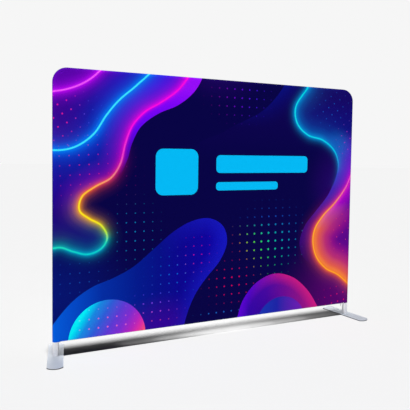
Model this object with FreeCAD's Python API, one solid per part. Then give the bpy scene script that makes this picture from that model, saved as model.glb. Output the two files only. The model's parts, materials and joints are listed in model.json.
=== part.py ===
"""Straight tension-fabric backdrop stand: tube frame, swivel feet, stretch cover and zip.

Millimetres. X runs along the width, -Y is the printed front and +Z is up.
The origin is on the floor, midway between the two posts.
"""
import FreeCAD, Part
import math
import os

# Covered panel
PANEL_WIDTH = 3000.0
PANEL_TOP = 2300.0
PANEL_BOTTOM = 116.0
PANEL_CORNER_RADIUS = 120.0
CLOTH_THICKNESS = 0.6
CLOTH_CLEARANCE = 0.2

# Frame tube, and the necked end that slips into the next tube
TUBE_RADIUS = 25.0
TUBE_BORE = 23.0
NECK_RADIUS = 22.9
NECK_BORE = 20.9
NECK_LENGTH = 60.0
SHOULDER = 4.0
COLLAR_REACH = 32.0
CORNER_LEG = 120.0
TEE_HALF_LENGTH = 100.0
POST_JOIN_HEIGHT = 1100.0
BOTTOM_RAIL_ROOM = 3.0

# Spring button that locks each slip joint
BUTTON_RADIUS = 4.0
BUTTON_HOLE_RADIUS = 4.1
BUTTON_FROM_SHOULDER = 30.0
BUTTON_TIP = 27.2
BUTTON_TIP_ROUND = 1.2
FLANGE_RADIUS = 6.0
FLANGE_OUTER = 19.8
FLANGE_THICKNESS = 1.5
LEAF_WIDTH = 8.0
LEAF_THICKNESS = 0.8
LEAF_PAD_HALF = 7.0
LEAF_BEND_DEPTH = 48.0
LEAF_BEND_OFFSET = 1.0
LEAF_FAR_REACH = 20.2
LEAF_FAR_DEPTH = 4.0

# Foot
FOOT_LENGTH = 500.0
FOOT_WIDTH = 125.0
FOOT_THICKNESS = 6.0
FOOT_END_SAGITTA = 28.0
FOOT_CORNER_RADIUS = 16.0
FOOT_CHAMFER = 1.5
FOOT_TOE_OUT_DEG = 10.0
PAD_THICKNESS = 2.0
PAD_LENGTH = 60.0
PAD_WIDTH = 105.0
PAD_OFFSET = 185.0
PAD_CORNER = 8.0
POST_LIFT = 0.3
SPIGOT_RADIUS = 22.95
SPIGOT_HEIGHT = 90.0
SPIGOT_BASE = 30.0
SPIGOT_CUP_RADIUS = 16.0
SPIGOT_CHAMFER = 3.0
SCREW_RADIUS = 5.0
SCREW_THREAD_GAP = 0.05
SCREW_HOLE_GAP = 0.25
SCREW_HEAD_RADIUS = 10.0
SCREW_HEAD_HEIGHT = 5.0
SCREW_LENGTH = 28.0
SOCKET_SIDES = 6
SOCKET_ACROSS_CORNERS = 6.9
SOCKET_DEPTH = 3.0

# Zip under the bottom rail
ZIP_HALF_LENGTH = 1440.0
COIL_HALF_LENGTH = 1430.0
TAPE_OUTER_DEG = 65.0
TAPE_INNER_DEG = 82.0
COIL_OUTER = 3.5
COIL_INNER = 0.7
COIL_LOW = 114.6
COIL_HIGH = 117.8
COIL_ROUND = 0.9
STOP_LENGTH = 4.0
STOP_GAP = 1.0
STOP_MARGIN = 0.25
SLIDER_LENGTH = 12.0
SLIDER_X = 1420.0
SLIDER_HALF_WIDTH = 4.8
SLIDER_PLATE = 1.2
SLIDER_LOW = 112.9
SLIDER_HIGH = 119.2
SLIDER_ROUND = 2.4
FLANGE_WALL = 0.9
LOWER_FLANGE_RISE = 1.3
UPPER_FLANGE_DROP = 0.5
BRIDGE_HALF_WIDTH = 0.6
BRIDGE_LENGTH = 2.5
CROWN_HALF_LENGTH = 4.0
CROWN_DROP = 3.3
CROWN_BAR = 1.0
CROWN_HALF_WIDTH = 0.8
PULL_PIVOT_DROP = 1.5
PULL_BAR_RADIUS = 0.7
PULL_THICKNESS = 1.2
PULL_HALF_WIDTH = 3.6
PULL_EYE_HALF_WIDTH = 1.5
PULL_EYE_LENGTH = 4.8
PULL_LENGTH = 24.0
PULL_ROUND = 2.5

OVERRUN = 1.0

Vector = FreeCAD.Vector
UP = Vector(0, 0, 1)
RIGHT = Vector(1, 0, 0)
BACK = Vector(0, 1, 0)

# Centre lines of the frame
COVER_OUTER = TUBE_RADIUS + CLOTH_CLEARANCE + CLOTH_THICKNESS
COVER_INNER = TUBE_RADIUS + CLOTH_CLEARANCE
POST_X = PANEL_WIDTH / 2 - COVER_OUTER
TOP_Z = PANEL_TOP - COVER_OUTER
COVER_FOLD_Z = PANEL_BOTTOM + COVER_OUTER
BOTTOM_Z = COVER_FOLD_Z + BOTTOM_RAIL_ROOM
BEND_RADIUS = PANEL_CORNER_RADIUS - COVER_OUTER
BEND_X = POST_X - BEND_RADIUS
BEND_Z = TOP_Z - BEND_RADIUS
PLATE_TOP = PAD_THICKNESS + FOOT_THICKNESS


def mirrored(shape):
    """The same shape on the other side of the stand, left for right."""
    return shape.mirror(Vector(0, 0, 0), RIGHT)


def bar(start, end, radius):
    """Round bar between two points."""
    run = end - start
    return Part.makeCylinder(radius, run.Length, start, run)


def block(low, high):
    """Box between its lowest and its highest corner."""
    size = Vector(*high) - Vector(*low)
    return Part.makeBox(size.x, size.y, size.z, Vector(*low))


def joined(shapes):
    """One solid from touching or overlapping shapes."""
    return shapes[0].fuse(shapes[1:]).removeSplitter()


def slip_joints():
    """Each slip joint: shoulder point, direction from neck into socket, and button direction."""
    corner_end = BEND_X - CORNER_LEG
    joints = {}
    for side, sign in (("left", -1), ("right", 1)):
        inward = RIGHT * -sign
        joints[side + "_post"] = (Vector(sign * POST_X, 0, POST_JOIN_HEIGHT), UP, inward)
        joints[side + "_corner"] = (Vector(sign * POST_X, 0, BEND_Z - CORNER_LEG), UP, inward)
        joints[side + "_top_outer"] = (Vector(sign * corner_end, 0, TOP_Z), inward, -UP)
        joints[side + "_top_inner"] = (Vector(sign * TEE_HALF_LENGTH, 0, TOP_Z), -inward, -UP)
        joints[side + "_bottom_outer"] = (
            Vector(sign * (POST_X - COLLAR_REACH), 0, BOTTOM_Z), inward, UP)
        joints[side + "_bottom_inner"] = (
            Vector(sign * TEE_HALF_LENGTH, 0, BOTTOM_Z), -inward, UP)
    joints["pole_bottom"] = (Vector(0, 0, BOTTOM_Z + COLLAR_REACH), UP, RIGHT)
    joints["pole_middle"] = (Vector(0, 0, POST_JOIN_HEIGHT), UP, RIGHT)
    joints["pole_top"] = (Vector(0, 0, TOP_Z - COLLAR_REACH), -UP, RIGHT)
    return joints


def drilled(shape, joint_names, joints):
    """The tube with a button hole for each named slip joint."""
    for name in joint_names:
        shoulder, direction, outward = joints[name]
        centre = shoulder + direction * BUTTON_FROM_SHOULDER
        shape = shape.cut(bar(centre, centre + outward * (TUBE_RADIUS + OVERRUN), BUTTON_HOLE_RADIUS))
    return shape


def neck(shoulder, direction):
    """Outside and bore of a necked tube end beyond its shoulder."""
    end = shoulder + direction * NECK_LENGTH
    outside = bar(shoulder, end, NECK_RADIUS)
    bore = bar(shoulder - direction * (SHOULDER + OVERRUN), end + direction * OVERRUN, NECK_BORE)
    return outside, bore


def straight_tube(start, end, necked):
    """Straight frame tube, open at its start, plain or necked at its end."""
    direction = (end - start).normalize()
    outside = bar(start, end, TUBE_RADIUS)
    if not necked:
        bore = bar(start - direction * OVERRUN, end + direction * OVERRUN, TUBE_BORE)
        return outside.cut(bore)
    neck_outside, neck_bore = neck(end, direction)
    bore = bar(start - direction * OVERRUN, end - direction * SHOULDER, TUBE_BORE)
    return joined([outside, neck_outside]).cut([bore, neck_bore])


def lower_upright(joints):
    """Left lower post with a welded necked stub that carries the bottom rail."""
    foot = Vector(-POST_X, 0, PLATE_TOP + POST_LIFT)
    post = straight_tube(foot, joints["left_post"][0], True)
    shoulder, direction, _ = joints["left_bottom_outer"]
    axis_point = Vector(-POST_X, 0, BOTTOM_Z)
    collar = bar(axis_point, shoulder, TUBE_RADIUS)
    neck_outside, _ = neck(shoulder, direction)
    stub_bore = bar(axis_point, shoulder + direction * (NECK_LENGTH + OVERRUN), NECK_BORE)
    post_bore = bar(foot, axis_point + UP * COLLAR_REACH, TUBE_BORE)
    return joined([post, collar, neck_outside]).cut([stub_bore, post_bore])


def corner_tube():
    """Left top corner: open leg, quarter bend and a necked level leg."""
    low = Vector(-POST_X, 0, BEND_Z - CORNER_LEG)
    bend_start = Vector(-POST_X, 0, BEND_Z)
    bend_end = Vector(-BEND_X, 0, TOP_Z)
    level_end = bend_end + RIGHT * CORNER_LEG

    def swept(radius, start, end):
        """Round section carried along the leg, the bend and the level leg."""
        circle = Part.Face(Part.Wire(Part.makeCircle(radius, bend_start, UP)))
        bend = circle.revolve(Vector(-BEND_X, 0, BEND_Z), BACK, 90)
        return joined([bar(start, bend_start, radius), bend, bar(bend_end, end, radius)])

    neck_outside, neck_bore = neck(level_end, RIGHT)
    outside = joined([swept(TUBE_RADIUS, low, level_end), neck_outside])
    bore = swept(TUBE_BORE, low - UP * OVERRUN, level_end - RIGHT * SHOULDER)
    return outside.cut([bore, neck_bore])


def centre_tee(height, stub_direction):
    """Short level tube, necked both ways, with a necked stub for the centre pole."""
    centre = Vector(0, 0, height)
    left = centre - RIGHT * TEE_HALF_LENGTH
    right = centre + RIGHT * TEE_HALF_LENGTH
    shoulder = centre + stub_direction * COLLAR_REACH
    solids = [bar(left, right, TUBE_RADIUS), bar(centre, shoulder, TUBE_RADIUS)]
    bores = [bar(left + RIGHT * SHOULDER, right - RIGHT * SHOULDER, TUBE_BORE)]
    for end, direction in ((left, -RIGHT), (right, RIGHT)):
        neck_outside, neck_bore = neck(end, direction)
        solids.append(neck_outside)
        bores.append(neck_bore)
    stub_end = shoulder + stub_direction * NECK_LENGTH
    solids.append(bar(shoulder, stub_end, NECK_RADIUS))
    bores.append(bar(centre, stub_end + stub_direction * OVERRUN, NECK_BORE))
    return joined(solids).cut(bores)


def placed_on_joint(shape, joint):
    """A piece built at a joint's axis, +Z into the socket and +X to the button, put in place."""
    shoulder, direction, outward = joint
    side = direction.cross(outward)
    centre = shoulder + direction * BUTTON_FROM_SHOULDER
    matrix = FreeCAD.Matrix(
        outward.x, side.x, direction.x, centre.x,
        outward.y, side.y, direction.y, centre.y,
        outward.z, side.z, direction.z, centre.z,
        0, 0, 0, 1)
    moved = shape.copy()
    moved.Placement = FreeCAD.Placement(matrix)
    return moved


def button():
    """Snap button: domed pin with a flange that stops it inside the neck."""
    pin = bar(RIGHT * FLANGE_OUTER, RIGHT * BUTTON_TIP, BUTTON_RADIUS)
    rim = [edge for edge in pin.Edges if abs(edge.CenterOfMass.x - BUTTON_TIP) < 0.01]
    domed = pin.makeFillet(BUTTON_TIP_ROUND, rim)
    flange = bar(RIGHT * (FLANGE_OUTER - FLANGE_THICKNESS), RIGHT * FLANGE_OUTER, FLANGE_RADIUS)
    return joined([domed, flange])


def leaf_spring():
    """V leaf spring behind a button, bearing on the far wall of the neck."""
    face = FLANGE_OUTER - FLANGE_THICKNESS
    line = [
        (face, LEAF_PAD_HALF),
        (face, -LEAF_PAD_HALF),
        (LEAF_BEND_OFFSET + LEAF_THICKNESS, -LEAF_BEND_DEPTH),
        (LEAF_BEND_OFFSET - LEAF_THICKNESS, -LEAF_BEND_DEPTH),
        (-LEAF_FAR_REACH, -LEAF_FAR_DEPTH),
        (-LEAF_FAR_REACH + LEAF_THICKNESS, -LEAF_FAR_DEPTH),
        (LEAF_BEND_OFFSET, -LEAF_BEND_DEPTH + 3 * LEAF_THICKNESS),
        (face - LEAF_THICKNESS, -LEAF_PAD_HALF),
        (face - LEAF_THICKNESS, LEAF_PAD_HALF),
    ]
    points = [Vector(x, -LEAF_WIDTH / 2, z) for x, z in line]
    return Part.Face(Part.makePolygon(points + points[:1])).extrude(BACK * LEAF_WIDTH)


def turned_foot_piece(shape):
    """A piece of the left foot, toed out and moved under the left post."""
    turned = shape.copy()
    turned.rotate(Vector(0, 0, 0), UP, -FOOT_TOE_OUT_DEG)
    turned.translate(Vector(-POST_X, 0, 0))
    return turned


def foot_plate():
    """Flat foot with gently rounded ends, eased corners and a bevelled upper edge."""
    half_width = FOOT_WIDTH / 2
    half_length = FOOT_LENGTH / 2
    shoulder = half_length - FOOT_END_SAGITTA
    z = PAD_THICKNESS
    corners = [
        Vector(-half_width, -shoulder, z),
        Vector(half_width, -shoulder, z),
        Vector(half_width, shoulder, z),
        Vector(-half_width, shoulder, z),
    ]
    outline = Part.Wire([
        Part.Arc(corners[0], Vector(0, -half_length, z), corners[1]).toShape(),
        Part.makeLine(corners[1], corners[2]),
        Part.Arc(corners[2], Vector(0, half_length, z), corners[3]).toShape(),
        Part.makeLine(corners[3], corners[0]),
    ])
    plate = Part.Face(outline).extrude(UP * FOOT_THICKNESS)
    uprights = [edge for edge in plate.Edges if edge.BoundBox.ZLength > FOOT_THICKNESS / 2]
    plate = plate.makeFillet(FOOT_CORNER_RADIUS, uprights)
    rim = [edge for edge in plate.Edges if edge.BoundBox.ZMin > PLATE_TOP - FOOT_CHAMFER]
    plate = plate.makeChamfer(FOOT_CHAMFER, rim)
    hole_radius = SCREW_RADIUS + SCREW_HOLE_GAP
    hole = bar(Vector(0, 0, 0), UP * (PLATE_TOP + OVERRUN), hole_radius)
    countersink = Part.makeCone(
        SCREW_HEAD_RADIUS + SCREW_HOLE_GAP, hole_radius, SCREW_HEAD_HEIGHT, Vector(0, 0, z))
    return plate.cut([hole, countersink])


def foot_pad(end_sign):
    """Grip pad stuck under one end of a foot."""
    y = end_sign * PAD_OFFSET
    pad = block(
        (-PAD_WIDTH / 2, y - PAD_LENGTH / 2, 0),
        (PAD_WIDTH / 2, y + PAD_LENGTH / 2, PAD_THICKNESS))
    uprights = [edge for edge in pad.Edges if edge.BoundBox.ZLength > PAD_THICKNESS / 2]
    return pad.makeFillet(PAD_CORNER, uprights)


def foot_spigot():
    """Turned plug, screwed to the foot, that the post slips over and turns on."""
    top = UP * (PLATE_TOP + SPIGOT_HEIGHT)
    plug = bar(UP * PLATE_TOP, top, SPIGOT_RADIUS)
    rim = [edge for edge in plug.Edges if edge.BoundBox.ZMin > PLATE_TOP + SPIGOT_HEIGHT / 2]
    plug = plug.makeChamfer(SPIGOT_CHAMFER, rim)
    cup = bar(UP * (PLATE_TOP + SPIGOT_BASE), top + UP * OVERRUN, SPIGOT_CUP_RADIUS)
    thread_radius = SCREW_RADIUS + SCREW_THREAD_GAP
    thread = bar(UP * (PLATE_TOP - OVERRUN), UP * (PLATE_TOP + SPIGOT_BASE), thread_radius)
    return plug.cut([cup, thread])


def foot_screw():
    """Countersunk socket screw, driven up through the foot into the spigot."""
    head_face = UP * PAD_THICKNESS
    head = Part.makeCone(SCREW_HEAD_RADIUS, SCREW_RADIUS, SCREW_HEAD_HEIGHT, head_face)
    shank = bar(head_face + UP * SCREW_HEAD_HEIGHT, head_face + UP * SCREW_LENGTH, SCREW_RADIUS)
    corner = SOCKET_ACROSS_CORNERS / 2
    turns = [math.tau * side / SOCKET_SIDES for side in range(SOCKET_SIDES)]
    ring = [head_face + Vector(corner * math.cos(turn), corner * math.sin(turn), 0) for turn in turns]
    socket = Part.Face(Part.makePolygon(ring + ring[:1])).extrude(UP * SOCKET_DEPTH)
    return joined([head, shank]).cut(socket)


def ring_sector(first_deg, last_deg, centre_z, x):
    """Cloth-thick slice of a ring in the YZ plane; 180 degrees is the front."""
    centre = Vector(x, 0, centre_z)
    middle_deg = (first_deg + last_deg) / 2
    spokes = []
    for angle_deg in (first_deg, middle_deg, last_deg):
        angle = math.radians(angle_deg)
        spokes.append(BACK * math.cos(angle) + UP * math.sin(angle))
    inner = [centre + spoke * COVER_INNER for spoke in spokes]
    outer = [centre + spoke * COVER_OUTER for spoke in spokes]
    edges = [
        Part.Arc(*inner).toShape(),
        Part.Arc(*outer).toShape(),
        Part.makeLine(inner[0], outer[0]),
        Part.makeLine(inner[2], outer[2]),
    ]
    return Part.Face(Part.Wire(Part.sortEdges(edges)[0]))


def cover_outline(cloth_y):
    """Edge of the flat front: straight posts and top, bent corners, and a step up over the zip."""
    diagonal = BEND_RADIUS * math.sqrt(0.5)
    zip_end = Vector(ZIP_HALF_LENGTH, cloth_y, COVER_FOLD_Z)
    zip_end_low = Vector(ZIP_HALF_LENGTH, cloth_y, PANEL_BOTTOM)
    post_low = Vector(POST_X, cloth_y, PANEL_BOTTOM)
    bend_start = Vector(POST_X, cloth_y, BEND_Z)
    bend_middle = Vector(BEND_X + diagonal, cloth_y, BEND_Z + diagonal)
    bend_end = Vector(BEND_X, cloth_y, TOP_Z)
    half = [
        Part.makeLine(zip_end, zip_end_low),
        Part.makeLine(zip_end_low, post_low),
        Part.makeLine(post_low, bend_start),
        Part.Arc(bend_start, bend_middle, bend_end).toShape(),
    ]
    edges = half + [mirrored(edge) for edge in half]
    edges.append(Part.makeLine(zip_end, Vector(-zip_end.x, cloth_y, zip_end.z)))
    edges.append(Part.makeLine(bend_end, Vector(-bend_end.x, cloth_y, bend_end.z)))
    return Part.Wire(Part.sortEdges(edges)[0])


def front_cover():
    """Printed front of the cover: flat face, and quarter wraps round the posts and both rails."""
    flat = Part.Face(cover_outline(-COVER_OUTER)).extrude(BACK * CLOTH_THICKNESS)
    top_wrap = ring_sector(90, 180, TOP_Z, -BEND_X).extrude(RIGHT * 2 * BEND_X)
    corner_wrap = ring_sector(90, 180, TOP_Z, -BEND_X).revolve(Vector(-BEND_X, 0, BEND_Z), BACK, -90)
    side_section = ring_sector(90, 180, TOP_Z, -BEND_X)
    side_section.rotate(Vector(-BEND_X, 0, BEND_Z), BACK, -90)
    side_wrap = side_section.extrude(UP * (PANEL_BOTTOM - BEND_Z))
    bottom_section = ring_sector(180, 180 + TAPE_OUTER_DEG, COVER_FOLD_Z, -ZIP_HALF_LENGTH)
    bottom_wrap = bottom_section.extrude(RIGHT * 2 * ZIP_HALF_LENGTH)
    wraps = [corner_wrap, side_wrap, mirrored(corner_wrap), mirrored(side_wrap)]
    return joined([flat, top_wrap, bottom_wrap] + wraps)


def zip_tape():
    """Front zip tape, sewn to the lower edge of the front cover."""
    section = ring_sector(180 + TAPE_OUTER_DEG, 180 + TAPE_INNER_DEG, COVER_FOLD_Z, -ZIP_HALF_LENGTH)
    return section.extrude(RIGHT * 2 * ZIP_HALF_LENGTH)


def zip_coil():
    """Front row of zip teeth as one rounded bar."""
    coil = block((-COIL_HALF_LENGTH, -COIL_OUTER, COIL_LOW), (COIL_HALF_LENGTH, -COIL_INNER, COIL_HIGH))
    ridges = [edge for edge in coil.Edges if edge.BoundBox.XLength > COIL_HALF_LENGTH]
    return coil.makeFillet(COIL_ROUND, ridges)


def zip_stop():
    """Moulded stop at the left end of the zip, clamped over both rows of teeth."""
    start = -COIL_HALF_LENGTH - STOP_GAP - STOP_LENGTH
    half_width = COIL_OUTER - STOP_MARGIN
    stop = block((start, -half_width, COIL_LOW), (start + STOP_LENGTH, half_width, COIL_HIGH))
    ridges = [edge for edge in stop.Edges if edge.BoundBox.XLength > STOP_LENGTH / 2]
    return stop.makeFillet(COIL_ROUND, ridges)


def zip_slider():
    """Zip slider: two plates joined by a bridge, curled side flanges and a crown for the pull."""
    start = SLIDER_X - SLIDER_LENGTH / 2
    end = SLIDER_X + SLIDER_LENGTH / 2
    lower_top = SLIDER_LOW + SLIDER_PLATE
    upper_low = SLIDER_HIGH - SLIDER_PLATE
    pieces = []
    for low in (SLIDER_LOW, upper_low):
        plate = block(
            (start, -SLIDER_HALF_WIDTH, low),
            (end, SLIDER_HALF_WIDTH, low + SLIDER_PLATE))
        uprights = [edge for edge in plate.Edges if edge.BoundBox.ZLength > SLIDER_PLATE / 2]
        pieces.append(plate.makeFillet(SLIDER_ROUND, uprights))
    straight_start = start + SLIDER_ROUND
    straight_end = end - SLIDER_ROUND
    for sign in (-1, 1):
        near, far = sorted((sign * (SLIDER_HALF_WIDTH - FLANGE_WALL), sign * SLIDER_HALF_WIDTH))
        pieces.append(block(
            (straight_start, near, lower_top),
            (straight_end, far, lower_top + LOWER_FLANGE_RISE)))
        pieces.append(block(
            (straight_start, near, upper_low - UPPER_FLANGE_DROP),
            (straight_end, far, upper_low)))
    pieces.append(block(
        (end - BRIDGE_LENGTH, -BRIDGE_HALF_WIDTH, lower_top),
        (end, BRIDGE_HALF_WIDTH, upper_low)))
    crown_low = SLIDER_LOW - CROWN_DROP
    crown = block(
        (SLIDER_X - CROWN_HALF_LENGTH, -CROWN_HALF_WIDTH, crown_low),
        (SLIDER_X + CROWN_HALF_LENGTH, CROWN_HALF_WIDTH, SLIDER_LOW))
    window_half_length = CROWN_HALF_LENGTH - CROWN_BAR
    window = block(
        (SLIDER_X - window_half_length, -CROWN_HALF_WIDTH, crown_low + CROWN_BAR),
        (SLIDER_X + window_half_length, CROWN_HALF_WIDTH, SLIDER_LOW))
    pieces.append(crown.cut(window))
    return joined(pieces)


def zip_pull():
    """Pull tab that hangs from the slider's crown by a round bar across its eye."""
    pivot_z = SLIDER_LOW - PULL_PIVOT_DROP
    half = PULL_THICKNESS / 2
    tab = block(
        (SLIDER_X - half, -PULL_HALF_WIDTH, pivot_z - PULL_LENGTH),
        (SLIDER_X + half, PULL_HALF_WIDTH, pivot_z))
    foot_edges = [
        edge for edge in tab.Edges
        if edge.BoundBox.XLength > half and edge.BoundBox.ZMax < pivot_z - PULL_LENGTH / 2]
    tab = tab.makeFillet(PULL_ROUND, foot_edges)
    eye = block(
        (SLIDER_X - half, -PULL_EYE_HALF_WIDTH, pivot_z - PULL_EYE_LENGTH),
        (SLIDER_X + half, PULL_EYE_HALF_WIDTH, pivot_z))
    pivot = Vector(SLIDER_X, 0, pivot_z)
    hinge_bar = bar(pivot - BACK * PULL_HALF_WIDTH, pivot + BACK * PULL_HALF_WIDTH, PULL_BAR_RADIUS)
    return joined([tab.cut(eye), hinge_bar])


def frame_tubes(joints):
    """Every tube of the frame, drilled for its buttons."""
    left = {
        "lower_upright": drilled(lower_upright(joints), ("left_post", "left_bottom_outer"), joints),
        "upper_upright": drilled(
            straight_tube(joints["left_post"][0], joints["left_corner"][0], True),
            ("left_post", "left_corner"), joints),
        "corner_tube": drilled(corner_tube(), ("left_corner", "left_top_outer"), joints),
        "top_rail": drilled(
            straight_tube(joints["left_top_outer"][0], joints["left_top_inner"][0], False),
            ("left_top_outer", "left_top_inner"), joints),
        "bottom_rail": drilled(
            straight_tube(joints["left_bottom_outer"][0], joints["left_bottom_inner"][0], False),
            ("left_bottom_outer", "left_bottom_inner"), joints),
    }
    tubes = {}
    for name, shape in left.items():
        tubes["left_" + name] = shape
        tubes["right_" + name] = mirrored(shape)
    tubes["top_centre_tee"] = drilled(
        centre_tee(TOP_Z, -UP), ("left_top_inner", "right_top_inner", "pole_top"), joints)
    tubes["bottom_centre_tee"] = drilled(
        centre_tee(BOTTOM_Z, UP), ("left_bottom_inner", "right_bottom_inner", "pole_bottom"), joints)
    tubes["lower_centre_pole"] = drilled(
        straight_tube(joints["pole_bottom"][0], joints["pole_middle"][0], True),
        ("pole_bottom", "pole_middle"), joints)
    tubes["upper_centre_pole"] = drilled(
        straight_tube(joints["pole_middle"][0], joints["pole_top"][0], False),
        ("pole_middle", "pole_top"), joints)
    return tubes


def feet():
    """Both feet with their pads, spigots and screws."""
    left = {
        "foot_plate": foot_plate(),
        "front_foot_pad": foot_pad(-1),
        "rear_foot_pad": foot_pad(1),
        "foot_spigot": foot_spigot(),
        "foot_screw": foot_screw(),
    }
    pieces = {}
    for name, shape in left.items():
        pieces["left_" + name] = turned_foot_piece(shape)
        pieces["right_" + name] = mirrored(turned_foot_piece(shape))
    return pieces


def snap_buttons(joints):
    """A button for each slip joint, and all the leaf springs as one group."""
    pin = button()
    leaf = leaf_spring()
    pieces = {name + "_button": placed_on_joint(pin, joint) for name, joint in joints.items()}
    pieces["button_springs"] = Part.makeCompound([placed_on_joint(leaf, joint) for joint in joints.values()])
    return pieces


def cover():
    """Both halves of the cover and the zip between their lower edges."""
    halves = {
        "cover": front_cover(),
        "zip_tape": zip_tape(),
        "zip_coil": zip_coil(),
    }
    pieces = {}
    for name, shape in halves.items():
        pieces["front_" + name] = shape
        pieces["back_" + name] = shape.mirror(Vector(0, 0, 0), BACK)
    pieces["left_zip_stop"] = zip_stop()
    pieces["right_zip_stop"] = mirrored(zip_stop())
    pieces["zip_slider"] = zip_slider()
    pieces["zip_pull"] = zip_pull()
    return pieces


def main():
    """Build every piece and write one STEP file for each."""
    os.makedirs("parts", exist_ok=True)
    joints = slip_joints()
    pieces = {}
    pieces.update(feet())
    pieces.update(frame_tubes(joints))
    pieces.update(snap_buttons(joints))
    pieces.update(cover())
    for name, shape in pieces.items():
        volume_cm3 = round(shape.Volume / 1000, 2)
        print(name, "solids", len(shape.Solids), "valid", shape.isValid(), "cm3", volume_cm3)
        shape.exportStep("parts/" + name + ".step")
    print(len(pieces), "pieces")


main()
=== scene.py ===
"""Looks of a straight tension-fabric backdrop stand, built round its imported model.

Metres. X runs along the width, -Y is the printed front and +Z is up. A tube frame on two
swivel feet carries a stretch cover: a printed front and a plain back, sewn together over the
posts and the top, and zipped together under the bottom rail.
"""
import sys
import json
import logging
import math
from dataclasses import dataclass
from enum import Enum
from typing import Callable, ClassVar, Iterable, Sequence, Union

import bmesh
import bpy
import numpy as np
from mathutils import Matrix, Vector

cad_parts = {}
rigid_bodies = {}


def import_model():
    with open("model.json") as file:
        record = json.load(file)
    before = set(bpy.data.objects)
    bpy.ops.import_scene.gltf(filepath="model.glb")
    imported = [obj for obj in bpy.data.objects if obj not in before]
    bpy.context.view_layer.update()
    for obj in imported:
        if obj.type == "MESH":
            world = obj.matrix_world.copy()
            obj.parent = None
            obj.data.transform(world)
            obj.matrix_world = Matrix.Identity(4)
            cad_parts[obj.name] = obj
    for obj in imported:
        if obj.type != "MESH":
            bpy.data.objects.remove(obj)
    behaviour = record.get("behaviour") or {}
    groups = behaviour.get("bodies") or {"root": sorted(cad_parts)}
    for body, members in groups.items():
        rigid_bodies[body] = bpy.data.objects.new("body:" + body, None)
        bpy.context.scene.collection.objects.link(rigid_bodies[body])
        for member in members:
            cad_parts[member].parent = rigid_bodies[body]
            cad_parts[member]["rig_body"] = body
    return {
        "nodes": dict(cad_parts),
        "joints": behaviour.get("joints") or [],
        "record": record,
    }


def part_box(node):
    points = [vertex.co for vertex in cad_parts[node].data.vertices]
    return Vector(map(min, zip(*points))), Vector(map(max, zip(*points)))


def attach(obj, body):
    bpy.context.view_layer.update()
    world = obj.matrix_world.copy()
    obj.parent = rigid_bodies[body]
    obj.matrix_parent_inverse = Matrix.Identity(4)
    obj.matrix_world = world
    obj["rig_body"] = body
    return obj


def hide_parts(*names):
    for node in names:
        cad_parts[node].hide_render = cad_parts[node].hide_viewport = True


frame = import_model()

LOG = logging.getLogger("backdrop")

Colour = tuple[int, int, int]
Point = tuple[float, float]
Stop = tuple[float, Colour]
Socket = bpy.types.NodeSocket
Value = Union[Socket, float, tuple]

MERGE = 1e-5


# ---------------------------------------------------------------- small helpers

def linear(colour: Colour) -> tuple[float, float, float, float]:
    """A screen colour as linear light.

    Args:
        colour: Red, green and blue, 0 to 255.

    Returns:
        Red, green, blue and full opacity, as the shader nodes take them.
    """
    shares = [channel / 255 for channel in colour]
    light = [s / 12.92 if s <= 0.04045 else ((s + 0.055) / 1.055) ** 2.4 for s in shares]
    return (light[0], light[1], light[2], 1.0)


def deselect() -> None:
    """Leave nothing selected, in object mode."""
    if bpy.context.object and bpy.context.object.mode != "OBJECT":
        bpy.ops.object.mode_set(mode="OBJECT")
    bpy.ops.object.select_all(action="DESELECT")


def select_only(piece: bpy.types.Object) -> None:
    """Select one piece and make it the active one.

    Args:
        piece: The piece to select.
    """
    deselect()
    piece.select_set(True)
    bpy.context.view_layer.objects.active = piece


def pick(piece: bpy.types.Object, kind: str, wanted: Callable[..., bool]) -> None:
    """Select some elements of a piece and open it in edit mode.

    Args:
        piece: The piece to shape.
        kind: VERT, EDGE or FACE.
        wanted: Function that says whether a bmesh element is wanted.
    """
    select_only(piece)
    bpy.ops.object.mode_set(mode="EDIT")
    bpy.ops.mesh.select_mode(type=kind)
    shape = bmesh.from_edit_mesh(piece.data)
    for element in list(shape.verts) + list(shape.edges) + list(shape.faces):
        element.select_set(False)
    elements = {"VERT": shape.verts, "EDGE": shape.edges, "FACE": shape.faces}[kind]
    for element in [e for e in elements if wanted(e)]:
        element.select_set(True)
    shape.select_flush_mode()
    bmesh.update_edit_mesh(piece.data)


def leave_edit() -> None:
    """Go back to object mode."""
    bpy.ops.object.mode_set(mode="OBJECT")


def apply_modifier(piece: bpy.types.Object, kind: str, **settings) -> None:
    """Add a modifier, set it and apply it.

    Args:
        piece: The piece it shapes.
        kind: The modifier's type.
        settings: Its settings by name.
    """
    select_only(piece)
    modifier = piece.modifiers.new(kind.lower(), kind)
    for name, value in settings.items():
        setattr(modifier, name, value)
    bpy.ops.object.modifier_apply(modifier=modifier.name)


def smooth_by_angle(piece: bpy.types.Object, degrees: float) -> None:
    """Shade a piece smooth, with sharp edges over an angle."""
    select_only(piece)
    bpy.ops.object.shade_smooth_by_angle(angle=math.radians(degrees))


def outward(piece: bpy.types.Object) -> None:
    """Merge doubles and turn every face of a closed piece outwards.

    Args:
        piece: The piece to mend.
    """
    shape = bmesh.new()
    shape.from_mesh(piece.data)
    bmesh.ops.remove_doubles(shape, verts=shape.verts, dist=MERGE)
    bmesh.ops.recalc_face_normals(shape, faces=shape.faces)
    shape.to_mesh(piece.data)
    shape.free()


def settle(piece: bpy.types.Object) -> None:
    """Put a piece's place and turn into its mesh, so that its object sits at the origin."""
    select_only(piece)
    bpy.ops.object.transform_apply(location=True, rotation=True, scale=True)


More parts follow.
